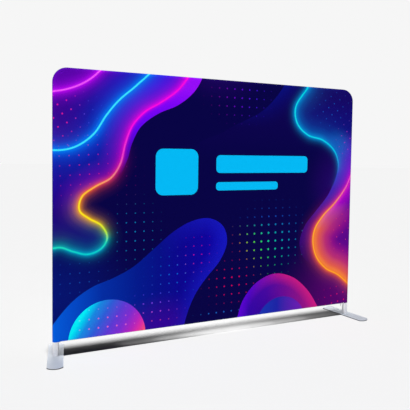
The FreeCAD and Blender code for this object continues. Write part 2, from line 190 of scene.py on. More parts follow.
def mesh_piece(name: str, points: np.ndarray, faces: Iterable[Sequence[int]]) -> bpy.types.Object:
    """A piece from points and faces.

    Args:
        name: Name of the piece.
        points: One row of x, y, z for each vertex.
        faces: Vertex numbers of each face.

    Returns:
        The new piece, linked to the scene.
    """
    mesh = bpy.data.meshes.new(name)
    mesh.from_pydata(points.tolist(), [], [list(face) for face in faces])
    piece = bpy.data.objects.new(name, mesh)
    bpy.context.scene.collection.objects.link(piece)
    return piece


def body_with(node: str) -> str:
    """Name of the body that a CAD node rides on."""
    return frame["nodes"][node]["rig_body"]


# ---------------------------------------------------------------- node material builder

class Shade:
    """A node material that is built one node at a time."""

    def __init__(self, name: str) -> None:
        """Start a material with one principled shader."""
        self.material = bpy.data.materials.new(name)
        self.material.use_nodes = True
        self.tree = self.material.node_tree
        self.tree.nodes.clear()
        self.shader = self.node("ShaderNodeBsdfPrincipled")
        output = self.node("ShaderNodeOutputMaterial")
        self.tree.links.new(self.shader.outputs["BSDF"], output.inputs["Surface"])

    def node(self, kind: str, inputs: dict | None = None, **settings) -> bpy.types.Node:
        """Add a node.

        Args:
            kind: The node's type.
            inputs: What goes into its sockets, by name or number.
            settings: Its settings by name.

        Returns:
            The node.
        """
        made = self.tree.nodes.new(kind)
        for name, value in settings.items():
            setattr(made, name, value)
        for key, value in (inputs or {}).items():
            self.plug(made.inputs[key], value)
        return made

    def plug(self, socket: Socket, value: Value) -> None:
        """Link a socket to another, or set its own value.

        Args:
            socket: The socket to fill.
            value: Another socket, or a plain value.
        """
        if isinstance(value, bpy.types.NodeSocket):
            self.tree.links.new(value, socket)
        else:
            socket.default_value = value

    def finish(self, **inputs: Value) -> None:
        """Fill the shader's sockets; an underscore stands for a space in a socket's name."""
        for name, value in inputs.items():
            self.plug(self.shader.inputs[name.replace("_", " ")], value)

    def math(self, operation: str, *terms: Value, clamp: bool = False) -> Socket:
        """Result of a maths node."""
        inputs = dict(enumerate(terms))
        return self.node("ShaderNodeMath", inputs, operation=operation, use_clamp=clamp).outputs[0]

    def vector(self, operation: str, *terms: Value) -> bpy.types.Node:
        """A vector maths node."""
        return self.node("ShaderNodeVectorMath", dict(enumerate(terms)), operation=operation)

    def mix(self, share: Value, under: Value, over: Value) -> Socket:
        """One colour laid over another by a share of 0 to 1."""
        made = self.node("ShaderNodeMix", {0: share, 6: under, 7: over}, data_type="RGBA")
        return made.outputs[2]

    def spread(self, value: Value, low: float, high: float, to_low: float = 0.0,
               to_high: float = 1.0, eased: bool = False) -> Socket:
        """A value carried from one range to another, and held at its ends.

        Args:
            value: What is carried.
            low: Value that gives to_low.
            high: Value that gives to_high.
            to_low: Result at low.
            to_high: Result at high.
            eased: Whether it starts and ends softly.

        Returns:
            The carried value.
        """
        kind = "SMOOTHSTEP" if eased else "LINEAR"
        inputs = {"Value": value, "From Min": low, "From Max": high,
                  "To Min": to_low, "To Max": to_high}
        return self.node("ShaderNodeMapRange", inputs, interpolation_type=kind).outputs["Result"]

    def ramp(self, value: Value, stops: Sequence[tuple[float, tuple]]) -> Socket:
        """A colour that changes along a value.

        Args:
            value: What the colour follows.
            stops: The value and the linear colour of each stop, in rising order.

        Returns:
            The colour.
        """
        low, high = stops[0][0], stops[-1][0]
        made = self.node("ShaderNodeValToRGB", {0: self.spread(value, low, high)})
        ramp = made.color_ramp
        while len(ramp.elements) < len(stops):
            ramp.elements.new(0.5)
        for element, (place, colour) in zip(ramp.elements, stops):
            element.position = (place - low) / (high - low)
            element.color = colour
        return made.outputs["Color"]

    def inks(self, value: Value, stops: Sequence[Stop]) -> Socket:
        """A colour ramp whose stops are screen colours."""
        return self.ramp(value, [(place, linear(colour)) for place, colour in stops])

    def grey(self, value: Value, stops: Sequence[Point]) -> Socket:
        """A plain number that changes along a value."""
        return self.ramp(value, [(place, (g, g, g, 1.0)) for place, g in stops])

    def here(self, stretch: tuple[float, float, float] = (1.0, 1.0, 1.0)) -> Socket:
        """Object coordinates, stretched by a factor for each axis."""
        place = self.node("ShaderNodeTexCoord").outputs["Object"]
        return self.vector("MULTIPLY", place, stretch).outputs[0]

    def noise(self, place: Socket, scale: float, detail: float = 2.0) -> Socket:
        """Noise of 0 to 1 at a place."""
        inputs = {"Vector": place, "Scale": scale, "Detail": detail}
        return self.node("ShaderNodeTexNoise", inputs).outputs[0]

    def attribute(self, name: str, output: str = "Fac") -> Socket:
        """A value that the mesh carries."""
        return self.node("ShaderNodeAttribute", attribute_name=name).outputs[output]

    def bump(self, height: Socket, strength: float, distance: float,
             under: Socket | None = None) -> Socket:
        """Surface relief from a height.

        Args:
            height: Height of 0 to 1.
            strength: How strongly it shows.
            distance: Depth of the relief, in metres.
            under: A coarser relief that this one lies on.

        Returns:
            The turned normal.
        """
        inputs = {"Height": height, "Strength": strength, "Distance": distance}
        if under is not None:
            inputs["Normal"] = under
        return self.node("ShaderNodeBump", inputs).outputs["Normal"]

    def worn_edge(self, radius: float) -> Socket:
        """Share of 0 to 1 that is high along sharp edges.

        Args:
            radius: How far from an edge it reaches.

        Returns:
            The share.
        """
        rounded = self.node("ShaderNodeBevel", {"Radius": radius}, samples=4).outputs[0]
        flat = self.node("ShaderNodeNewGeometry").outputs["Normal"]
        meeting = self.vector("DOT_PRODUCT", rounded, flat).outputs["Value"]
        return self.spread(meeting, 0.995, 0.86)


# ---------------------------------------------------------------- finishes

class Finish:
    """A surface finish, made once and shared by every piece that has it."""

    made: ClassVar[dict["Finish", bpy.types.Material]] = {}
    slot: ClassVar[str] = ""

    def paint(self, shade: Shade) -> None:
        """Build the finish in a material."""
        raise NotImplementedError

    def material(self) -> bpy.types.Material:
        """The finish's material, built the first time it is asked for.

        Returns:
            The material.
        """
        if self not in Finish.made:
            shade = Shade(type(self).__name__)
            self.paint(shade)
            Finish.made[self] = shade.material
        return Finish.made[self]

    def dress(self, piece: bpy.types.Object) -> None:
        """Put the finish on a piece."""
        piece.data.materials.clear()
        piece.data.materials.append(self.material())


def hand_over(piece: bpy.types.Object, finish: Finish, node: str, stands_for_it: bool = True) -> None:
    """Dress a finished piece and put it on the body of a CAD node.

    Args:
        piece: The finished piece.
        finish: Its finish.
        node: The CAD node whose body it rides on.
        stands_for_it: Whether it takes that node's place.
    """
    finish.dress(piece)
    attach(piece, body_with(node))
    if stands_for_it:
        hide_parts(node)
    LOG.info("%s: %d faces", piece.name, len(piece.data.polygons))


class Axis(Enum):
    """Direction that a tube or a brushed strip runs in, as a stretch of the grain."""

    ALONG_X = (0.02, 1.0, 1.0)
    ALONG_Z = (1.0, 1.0, 0.02)
    EVEN = (1.0, 1.0, 1.0)


@dataclass(frozen=True)
class SatinTube(Finish):
    """Satin anodised aluminium tube, with faint drawing lines along it and a few scuffs."""

    slot: ClassVar[str] = "frame_tube"
    grain: Axis = Axis.ALONG_Z
    tint: Colour = (234, 234, 237)
    shadow_tint: Colour = (221, 221, 226)
    line_scale: float = 900.0

    def paint(self, shade: Shade) -> None:
        """Build the finish in a material.

        Args:
            shade: The material to fill.
        """
        lines = shade.noise(shade.here(self.grain.value), self.line_scale, 3.0)
        cloud = shade.noise(shade.here(), 14.0, 4.0)
        scuffs = shade.noise(shade.here((1.0, 1.0, 3.0)), 60.0, 6.0)
        colour = shade.mix(shade.spread(cloud, 0.35, 0.65), linear(self.shadow_tint), linear(self.tint))
        rough = shade.math("ADD", shade.spread(lines, 0.3, 0.7, 0.30, 0.40),
                           shade.spread(scuffs, 0.58, 0.72, 0.0, 0.14))
        relief = shade.bump(lines, 0.12, 0.00006)
        shade.finish(Base_Color=colour, Metallic=0.4, Roughness=rough, Normal=relief)


@dataclass(frozen=True)
class PowderCoat(Finish):
    """Silver-grey powder coat: fine orange peel, metal flake, a painted highlight on its edges and painted
    shade on its side faces.
    """

    slot: ClassVar[str] = "foot_paint"
    tint: Colour = (179, 185, 194)
    dark_tint: Colour = (171, 177, 187)
    edge_tint: Colour = (202, 206, 213)
    side_tint: Colour = (66, 68, 73)

    def paint(self, shade: Shade) -> None:
        """Build the finish in a material.

        Args:
            shade: The material to fill.
        """
        peel = shade.noise(shade.here(), 700.0, 2.0)
        flake = shade.noise(shade.here(), 2600.0, 1.0)
        cloud = shade.noise(shade.here(), 9.0, 5.0)
        dust = shade.noise(shade.here(), 120.0, 6.0)
        colour = shade.mix(shade.spread(cloud, 0.3, 0.7), linear(self.dark_tint), linear(self.tint))
        colour = shade.mix(shade.spread(flake, 0.62, 0.75, 0.0, 0.35), colour, linear(self.edge_tint))
        # Painted highlight: the eased edges are mixed half-way towards the light flake tint.
        colour = shade.mix(shade.math("MULTIPLY", shade.worn_edge(0.0012), 0.5), colour,
                           linear(self.edge_tint))
        rough = shade.spread(dust, 0.35, 0.7, 0.36, 0.52)
        relief = shade.bump(peel, 0.22, 0.00012)
        # Painted shade: faces that turn away from straight up are darkened towards the dark side tint.
        normal = shade.node("ShaderNodeNewGeometry").outputs["Normal"]
        rise = shade.node("ShaderNodeSeparateXYZ", {0: normal}).outputs["Z"]
        colour = shade.mix(shade.spread(rise, 0.35, 0.05), colour, linear(self.side_tint))
        shade.finish(Base_Color=colour, Metallic=0.12, Roughness=rough, Normal=relief)
        shade.finish(Specular_IOR_Level=0.18)


@dataclass(frozen=True)
class GripRubber(Finish):
    """Dark soft rubber with a dusty, slightly pitted skin."""

    slot: ClassVar[str] = "grip_pad"
    tint: Colour = (34, 34, 37)
    dust_tint: Colour = (78, 76, 74)

    def paint(self, shade: Shade) -> None:
        """Build the finish in a material.

        Args:
            shade: The material to fill.
        """
        pits = shade.noise(shade.here(), 1500.0, 3.0)
        dust = shade.noise(shade.here(), 55.0, 6.0)
        colour = shade.mix(shade.spread(dust, 0.52, 0.8), linear(self.tint), linear(self.dust_tint))
        shade.finish(Base_Color=colour, Roughness=shade.spread(pits, 0.3, 0.7, 0.72, 0.92),
                     Normal=shade.bump(pits, 0.5, 0.0001))


@dataclass(frozen=True)
class TurnedPlug(Finish):
    """Lathe-turned aluminium with fine tool rings round its axis."""

    slot: ClassVar[str] = "turned_plug"
    tint: Colour = (216, 217, 219)
    ring_pitch: float = 0.0004

    def paint(self, shade: Shade) -> None:
        """Build the finish in a material.

        Args:
            shade: The material to fill.
        """
        inputs = {"Vector": shade.here(), "Scale": 1 / self.ring_pitch / math.tau * 2,
                  "Distortion": 0.4, "Detail": 1.0}
        rings = shade.node("ShaderNodeTexWave", inputs, bands_direction="Z").outputs["Fac"]
        cloud = shade.noise(shade.here(), 45.0, 4.0)
        colour = shade.mix(shade.spread(cloud, 0.3, 0.7), linear((196, 197, 200)), linear(self.tint))
        shade.finish(Base_Color=colour, Metallic=1.0, Roughness=shade.spread(rings, 0.0, 1.0, 0.24, 0.36),
                     Normal=shade.bump(rings, 0.25, 0.00005))


@dataclass(frozen=True)
class ZincPlate(Finish):
    """Bright zinc plate with a faint warm and cool bloom."""

    slot: ClassVar[str] = "screw_zinc"
    warm_tint: Colour = (205, 202, 190)
    cool_tint: Colour = (190, 198, 208)

    def paint(self, shade: Shade) -> None:
        """Build the finish in a material.

        Args:
            shade: The material to fill.
        """
        bloom = shade.noise(shade.here(), 220.0, 5.0)
        grain = shade.noise(shade.here(), 2200.0, 2.0)
        colour = shade.mix(shade.spread(bloom, 0.4, 0.6), linear(self.warm_tint), linear(self.cool_tint))
        shade.finish(Base_Color=colour, Metallic=1.0, Roughness=shade.spread(bloom, 0.3, 0.7, 0.26, 0.44),
                     Normal=shade.bump(grain, 0.15, 0.00004))


@dataclass(frozen=True)
class NickelPlate(Finish):
    """Polished nickel plate with rub marks from the tube holes."""

    slot: ClassVar[str] = "snap_button"
    tint: Colour = (224, 221, 214)

    def paint(self, shade: Shade) -> None:
        """Build the finish in a material.

        Args:
            shade: The material to fill.
        """
        rubs = shade.noise(shade.here((1.0, 1.0, 0.3)), 900.0, 5.0)
        bloom = shade.noise(shade.here(), 160.0, 3.0)
        colour = shade.mix(shade.spread(bloom, 0.35, 0.65), linear((207, 204, 198)), linear(self.tint))
        shade.finish(Base_Color=colour, Metallic=1.0, Roughness=shade.spread(rubs, 0.45, 0.75, 0.12, 0.34),
                     Normal=shade.bump(rubs, 0.1, 0.00003))


@dataclass(frozen=True)
class SpringSteel(Finish):
    """Blued spring strip: dark steel with straw and blue temper clouds."""

    slot: ClassVar[str] = "spring_steel"
    steel: Colour = (138, 140, 146)
    straw: Colour = (152, 136, 108)
    blue: Colour = (84, 96, 128)

    def paint(self, shade: Shade) -> None:
        """Build the finish in a material.

        Args:
            shade: The material to fill.
        """
        temper = shade.noise(shade.here(), 70.0, 3.0)
        stops = [(0.30, self.steel), (0.48, self.straw), (0.60, self.blue), (0.75, self.steel)]
        lines = shade.noise(shade.here((1.0, 0.05, 1.0)), 1800.0, 2.0)
        shade.finish(Base_Color=shade.inks(temper, stops), Metallic=1.0,
                     Roughness=shade.spread(lines, 0.3, 0.7, 0.24, 0.38),
                     Normal=shade.bump(lines, 0.15, 0.00004))


def knit_relief(shade: Shade, strength: float) -> Socket:
    """Columns and rows of a fine stretch knit, in the flat cloth's own coordinates.

    Args:
        shade: The material it is for.
        strength: How strongly the loops show.

    Returns:
        The turned normal.
    """
    column_pitch, row_pitch = 0.0016, 0.0012
    flat = shade.attribute("flat_place", "Vector")
    sway = shade.noise(flat, 35.0, 2.0)
    parts = shade.node("ShaderNodeSeparateXYZ", {0: flat})
    across = shade.math("MULTIPLY", parts.outputs["X"], math.tau / column_pitch)
    along = shade.math("MULTIPLY", parts.outputs["Z"], math.tau / row_pitch)
    columns = shade.math("SINE", shade.math("ADD", across, sway))
    rows = shade.math("SINE", shade.math("ADD", along, shade.math("ABSOLUTE", columns)))
    loops = shade.math("MULTIPLY_ADD", shade.math("MULTIPLY", columns, rows), 0.5, 0.5)
    slack = shade.noise(flat, 5.0, 1.0)
    return shade.bump(loops, strength, 0.00022, shade.bump(slack, 0.10, 0.004))


@dataclass(frozen=True)
class LiningCloth(Finish):
    """Plain white stretch knit, slightly mottled."""

    slot: ClassVar[str] = "lining_cloth"
    tint: Colour = (236, 236, 239)
    shade_tint: Colour = (226, 226, 231)

    def paint(self, shade: Shade) -> None:
        """Build the finish in a material.

        Args:
            shade: The material to fill.
        """
        mottle = shade.noise(shade.attribute("flat_place", "Vector"), 420.0, 3.0)
        colour = shade.mix(shade.spread(mottle, 0.35, 0.65), linear(self.shade_tint), linear(self.tint))
        shade.finish(Base_Color=colour, Roughness=0.82, Normal=knit_relief(shade, 0.35))
        shade.finish(Specular_IOR_Level=0.2, Sheen_Weight=0.12, Sheen_Roughness=0.4)


@dataclass(frozen=True)
class ZipTape(Finish):
    """Dark woven polyester tape in a narrow herringbone."""

    slot: ClassVar[str] = "zip_tape"
    tint: Colour = (40, 38, 52)
    thread_tint: Colour = (66, 62, 84)
    rib_pitch: float = 0.0011

    def paint(self, shade: Shade) -> None:
        """Build the finish in a material.

        Args:
            shade: The material to fill.
        """
        parts = shade.node("ShaderNodeSeparateXYZ", {0: shade.here()})
        fold = shade.math("PINGPONG", parts.outputs["Y"], 0.003)
        slant = shade.math("ADD", parts.outputs["X"], fold)
        ribs = shade.math("SINE", shade.math("MULTIPLY", slant, math.tau / self.rib_pitch))
        height = shade.math("MULTIPLY_ADD", ribs, 0.5, 0.5)
        fuzz = shade.noise(shade.here(), 900.0, 3.0)
        share = shade.math("MULTIPLY", height, shade.spread(fuzz, 0.3, 0.7, 0.6, 1.0))
        shade.finish(Base_Color=shade.mix(share, linear(self.tint), linear(self.thread_tint)),
                     Roughness=0.85, Normal=shade.bump(height, 0.5, 0.0002), Sheen_Weight=0.2)


@dataclass(frozen=True)
class SewingThread(Finish):
    """Dark twisted sewing thread."""

    slot: ClassVar[str] = "zip_tape"
    tint: Colour = (34, 28, 62)
    light_tint: Colour = (64, 56, 104)

    def paint(self, shade: Shade) -> None:
        """Build the finish in a material.

        Args:
            shade: The material to fill.
        """
        twist = shade.noise(shade.here((1.0, 4.0, 1.0)), 1300.0, 2.0)
        shade.finish(Base_Color=shade.mix(twist, linear(self.tint), linear(self.light_tint)),
                     Roughness=0.7, Normal=shade.bump(twist, 0.4, 0.0001), Sheen_Weight=0.3)


@dataclass(frozen=True)
class NylonTeeth(Finish):
    """Dark moulded nylon, a little glossy and scuffed where the slider rubs."""

    slot: ClassVar[str] = "zip_teeth"
    tint: Colour = (38, 37, 45)
    scuff_tint: Colour = (88, 86, 98)

    def paint(self, shade: Shade) -> None:
        """Build the finish in a material.

        Args:
            shade: The material to fill.
        """
        scuffs = shade.noise(shade.here((0.2, 1.0, 1.0)), 400.0, 5.0)
        share = shade.spread(scuffs, 0.55, 0.8)
        shade.finish(Base_Color=shade.mix(share, linear(self.tint), linear(self.scuff_tint)),
                     Roughness=shade.spread(scuffs, 0.4, 0.7, 0.34, 0.58),
                     Normal=shade.bump(scuffs, 0.2, 0.00005))


@dataclass(frozen=True)
class SilverEnamel(Finish):
    """Silver enamel on a cast zinc slider, rubbed brighter on its edges."""

    slot: ClassVar[str] = "zip_metal"
    tint: Colour = (168, 169, 173)
    edge_tint: Colour = (214, 214, 216)

    def paint(self, shade: Shade) -> None:
        """Build the finish in a material.

        Args:
            shade: The material to fill.
        """
        cast = shade.noise(shade.here(), 1800.0, 3.0)
        colour = shade.mix(shade.worn_edge(0.0003), linear(self.tint), linear(self.edge_tint))
        shade.finish(Base_Color=colour, Metallic=0.8, Roughness=shade.spread(cast, 0.3, 0.7, 0.28, 0.44),
                     Normal=shade.bump(cast, 0.2, 0.00005))


@dataclass(frozen=True)
class PaleFloor(Finish):
    """Plain pale studio floor."""

    tint: Colour = (137, 137, 137)

    def paint(self, shade: Shade) -> None:
        """Build the finish in a material.

        Args:
            shade: The material to fill.
        """
        mottle = shade.noise(shade.here(), 3.0, 2.0)
        light = linear(self.tint)
        dimmer = tuple(channel * 0.995 for channel in light[:3]) + (1.0,)
        shade.finish(Base_Color=shade.mix(mottle, dimmer, light), Roughness=1.0, Specular_IOR_Level=0.0)


# ---------------------------------------------------------------- the print

@dataclass(frozen=True)
class Outline:
    """A closed flowing line of the print, x and z in metres; its fill lies inside it."""

    name: str
    points: tuple[Point, ...]
    steps: int = 10

    def smooth(self) -> np.ndarray:
        """The line through the points as a closed row of short runs.

        Returns:
            One row of x and z for each point of the line.
        """
        knots = np.array(self.points, float)
        before, after, beyond = (np.roll(knots, shift, axis=0) for shift in (1, -1, -2))
        t = np.arange(self.steps)[None, :, None] / self.steps
        p0, p1, p2, p3 = (row[:, None, :] for row in (before, knots, after, beyond))
        cubic = 2 * p1 + (p2 - p0) * t + (2 * p0 - 5 * p1 + 4 * p2 - p3) * t ** 2
        cubic = cubic + (3 * p1 - p0 - 3 * p2 + p3) * t ** 3
        return (cubic / 2).reshape(-1, 2)

    def distance(self, places: np.ndarray) -> np.ndarray:
        """Distance of each place from the line, positive inside it.

        Args:
            places: One row of x and z for each place.

        Returns:
            One distance for each place, in metres.
        """
        line = self.smooth()
        run = np.roll(line, -1, axis=0) - line
        length_squared = (run ** 2).sum(1)
        result = np.empty(len(places))
        batch = 4096
        for first in range(0, len(places), batch):
            offset = places[first:first + batch, None, :] - line[None]
            share = np.clip((offset * run).sum(2) / length_squared, 0, 1)
            gap = offset - share[..., None] * run
            near = np.sqrt((gap ** 2).sum(2).min(1))
            rise = run[:, 1]
            starts_below = offset[..., 1] >= 0
            ends_below = offset[..., 1] - rise >= 0
            crosses = starts_below != ends_below
            with np.errstate(divide="ignore", invalid="ignore"):
                reach = offset[..., 1] / rise * run[:, 0]
            inside = (crosses & (offset[..., 0] < reach)).sum(1) % 2 == 1
            result[first:first + batch] = np.where(inside, near, -near)
        return result


CORNER_ARC = Outline("corner_arc", (
    (-1.80, 2.12), (-1.60, 2.10), (-1.42, 2.12), (-1.25, 2.19), (-1.12, 2.30), (-1.04, 2.44),
    (-1.40, 2.80), (-1.90, 2.60)))
UPPER_RIBBON = Outline("upper_ribbon", (
    (-1.85, 1.70), (-1.62, 1.66), (-1.44, 1.65), (-1.30, 1.69), (-1.17, 1.79), (-1.07, 1.94),
    (-0.96, 2.07), (-0.81, 2.20), (-0.66, 2.36), (-0.60, 2.60), (-1.40, 3.00), (-2.20, 2.40)))
LEFT_RIBBON = Outline("left_ribbon", (
    (-0.22, 2.50), (-0.33, 2.32), (-0.44, 2.18), (-0.59, 2.07), (-0.74, 1.98), (-0.85, 1.86),
    (-0.91, 1.71), (-0.95, 1.55), (-1.03, 1.43), (-1.16, 1.36), (-1.27, 1.28), (-1.29, 1.17),
    (-1.21, 1.10), (-1.11, 1.04), (-1.06, 0.94), (-1.11, 0.85), (-1.22, 0.81), (-1.34, 0.84),
    (-1.45, 0.88), (-1.60, 0.86), (-1.90, 0.90), (-2.60, 1.70), (-1.60, 3.20)))
VIOLET_BAND = Outline("violet_band", (
    (-0.14, 2.50), (-0.20, 2.32), (-0.29, 2.17), (-0.44, 2.05), (-0.62, 1.97), (-0.77, 1.86),
    (-0.85, 1.72), (-0.90, 1.56), (-1.02, 1.36), (-1.30, 1.30), (-2.40, 1.70), (-1.40, 3.20)))
BLUE_WAVE = Outline("blue_wave", (
    (0.80, 2.50), (0.66, 2.30), (0.54, 2.15), (0.40, 2.03), (0.22, 1.94), (0.02, 1.84),
    (-0.30, 1.60), (0.10, 0.80), (1.20, 0.90), (2.40, 1.60), (1.80, 3.00)))
RIGHT_RIBBON = Outline("right_ribbon", (
    (1.08, 2.48), (0.92, 2.28), (0.79, 2.10), (0.81, 1.94), (0.94, 1.83), (1.12, 1.785),
    (1.26, 1.69), (1.32, 1.56), (1.30, 1.42), (1.20, 1.24), (1.05, 1.08), (0.93, 0.95),
    (0.87, 0.80), (0.90, 0.66), (1.02, 0.55), (1.30, 0.44), (2.30, 0.60), (2.60, 1.60), (1.90, 2.90)))
EMBER_RIBBON = Outline("ember_ribbon", (
    (1.75, 1.85), (1.60, 1.62), (1.50, 1.46), (1.42, 1.31), (1.29, 1.16), (1.15, 1.04),
    (1.05, 0.91), (1.03, 0.77), (1.08, 0.62), (1.20, 0.50), (1.36, 0.42), (1.60, 0.24),
    (1.90, 0.10), (2.50, 1.00)))
BLUE_HILL = Outline("blue_hill", (
    (-1.70, -0.10), (-1.60, 0.10), (-1.48, 0.29), (-1.34, 0.44), (-1.18, 0.54), (-1.00, 0.60),
    (-0.83, 0.68), (-0.66, 0.81), (-0.48, 0.95), (-0.30, 1.04), (-0.12, 1.06), (0.02, 0.98),
    (0.06, 0.83), (-0.01, 0.67), (-0.14, 0.53), (-0.25, 0.39), (-0.33, 0.22), (-0.39, 0.00),
    (-0.50, -0.40), (-1.20, -0.60)))
DOME = Outline("dome", (
    (0.17, -0.10), (0.18, 0.10), (0.24, 0.28), (0.38, 0.43), (0.58, 0.50), (0.79, 0.45),
    (0.96, 0.32), (1.08, 0.16), (1.18, -0.04), (1.10, -0.40), (0.30, -0.40)))

OUTLINES = (CORNER_ARC, UPPER_RIBBON, LEFT_RIBBON, VIOLET_BAND, BLUE_WAVE, RIGHT_RIBBON,
            EMBER_RIBBON, BLUE_HILL, DOME)


class Artwork:
    """Lays the inks of the print one over another, at a place on the flat cloth."""

    navy: Colour = (4, 0, 68)
    cyan: Colour = (0, 186, 246)
    dot_pitch: float = 0.078
    crisp: float = 0.0012

    def __init__(self, shade: Shade) -> None:
        """Start with the dark ground.

        Args:
            shade: The material that the print belongs to.
        """
        self.shade = shade
        self.flat = shade.attribute("flat_place", "Vector")
        parts = shade.node("ShaderNodeSeparateXYZ", {0: self.flat})
        self.x, self.z = parts.outputs["X"], parts.outputs["Z"]
        self.colour: Value = linear(self.navy)

    def lay(self, ink: Value, cover: Value) -> None:
        """Lay an ink over what is there.

        Args:
            ink: A screen colour, or a colour socket.
            cover: How much of it there is, 0 to 1.
        """
        over = ink if isinstance(ink, bpy.types.NodeSocket) else linear(ink)
        self.colour = self.shade.mix(cover, self.colour, over)

    def product(self, *shares: Value) -> Socket:
        """Several shares multiplied together.

        Args:
            shares: The shares, 0 to 1.

        Returns:
            Their product.
        """
        result = shares[0]
        for share in shares[1:]:
            result = self.shade.math("MULTIPLY", result, share)
        return result

    def spot(self, centre: Point, radii: Point, strength: float = 1.0) -> Socket:
        """A soft round patch.

        Args:
            centre: Its middle, x and z.
            radii: Its reach along x and z.
            strength: Its share in the middle.

        Returns:
            Its share, 0 to 1.
        """
        moved = self.shade.vector("SUBTRACT", self.flat, (centre[0], 0.0, centre[1])).outputs[0]
        scale = (1 / radii[0], 0.0, 1 / radii[1])
        reach = self.shade.vector("LENGTH", self.shade.vector("MULTIPLY", moved, scale).outputs[0])
        return self.shade.spread(reach.outputs["Value"], 1.0, 0.0, 0.0, strength, eased=True)

    def disc_distance(self, centre: Point, radius: float) -> Socket:
        """Distance inside the rim of a disc, positive inside.

        Args:
            centre: Its middle, x and z.
            radius: Its radius.

        Returns:
            The distance, in metres.
        """
        moved = self.shade.vector("SUBTRACT", self.flat, (centre[0], 0.0, centre[1])).outputs[0]
        flat = self.shade.vector("MULTIPLY", moved, (1.0, 0.0, 1.0)).outputs[0]
        reach = self.shade.vector("LENGTH", flat).outputs["Value"]
        return self.shade.math("SUBTRACT", radius, reach)

    def tile_distance(self, centre: Point, size: Point, corner: float) -> Socket:
        """Distance inside the edge of a rounded rectangle, positive inside.

        Args:
            centre: Its middle, x and z.
            size: Its width and height.
            corner: Its corner radius.

        Returns:
            The distance, in metres.
        """
        moved = self.shade.vector("SUBTRACT", self.flat, (centre[0], 0.0, centre[1])).outputs[0]
        folded = self.shade.vector("ABSOLUTE", moved).outputs[0]
        straight = (size[0] / 2 - corner, 1.0, size[1] / 2 - corner)
        beyond = self.shade.vector("SUBTRACT", folded, straight).outputs[0]
        outside = self.shade.vector("MAXIMUM", beyond, (0.0, 0.0, 0.0)).outputs[0]
        reach = self.shade.vector("LENGTH", outside).outputs["Value"]
        return self.shade.math("SUBTRACT", corner, reach)

    def inside(self, distance: Socket) -> Socket:
        """1 inside an edge and 0 outside it."""
        return self.shade.spread(distance, -self.crisp, self.crisp, eased=True)

    def line(self, distance: Socket, half_width: float) -> Socket:
        """A thin soft-edged line along an edge."""
        away = self.shade.math("ABSOLUTE", distance)
        return self.shade.spread(away, half_width * 1.5, half_width * 0.4, eased=True)

    def glow(self, distance: Socket, inner: float, outer: float, strength: float = 1.0) -> Socket:
        """Light that fades away from an edge, further on one side than on the other.

        Args:
            distance: Distance from the edge, positive inside.
            inner: Reach on the inner side.
            outer: Reach on the outer side.
            strength: Its share on the edge.

        Returns:
            Its share, 0 to 1.
        """
        fall = ((1.0, 0.0), (0.72, 0.012), (0.50, 0.05), (0.30, 0.17), (0.14, 0.44), (0.0, 1.0))
        stops = [(-outer * reach, strength * share) for reach, share in fall]
        stops += [(inner * reach, strength * share) for reach, share in fall[-2::-1]]
        return self.shade.grey(distance, stops)

    def dots(self, turn_deg: float, pitch: float, radius: float, mask: Socket) -> Socket:
        """A square lattice of dots that shrink where their mask fades.

        Args:
            turn_deg: Turn of the lattice.
            pitch: Distance from dot to dot.
            radius: Largest radius of a dot.
            mask: Where the dots are, 0 to 1.

        Returns:
            Their share, 0 to 1.
        """
        inputs = {"Vector": self.flat, "Angle": math.radians(turn_deg)}
        turned = self.shade.node("ShaderNodeVectorRotate", inputs, rotation_type="Y_AXIS").outputs[0]
        cells = self.shade.vector("MULTIPLY", turned, (1 / pitch, 0.0, 1 / pitch)).outputs[0]
        local = self.shade.vector("SUBTRACT", self.shade.vector("FRACTION", cells).outputs[0],
                                  (0.5, 0.0, 0.5)).outputs[0]
        reach = self.shade.math("MULTIPLY", self.shade.vector("LENGTH", local).outputs["Value"], pitch)
        size = self.shade.spread(mask, 0.0, 1.0, radius * 0.55, radius)
        spare = self.shade.math("SUBTRACT", size, reach)
        dot = self.shade.spread(spare, -0.0014, 0.0024, eased=True)
        return self.product(dot, self.shade.spread(mask, 0.02, 0.75, 0.0, 0.95))

    def ground(self) -> None:
        """Dark ground with soft blue and purple clouds, and a faint wave at the upper right."""
        shade = self.shade
        self.lay((2, 18, 112), self.spot((-1.52, 0.50), (0.85, 0.70), 0.95))
        self.lay((88, 0, 110), self.spot((1.50, 0.20), (0.95, 0.85), 1.0))
        self.lay((30, 0, 96), self.spot((-0.05, 2.40), (0.55, 0.36), 0.8))
        wave = shade.attribute(BLUE_WAVE.name)
        self.lay((12, 0, 82), self.product(self.inside(wave), shade.spread(self.z, 1.60, 2.20, 0.0, 0.9)))
        self.lay((2, 14, 132), self.product(
            self.inside(wave), shade.spread(wave, 0.20, 0.0, 0.0, 0.8), shade.spread(self.z, 1.88, 2.30)))
        self.lay((34, 0, 102), self.spot((1.30, 1.35), (0.42, 0.50), 0.8))

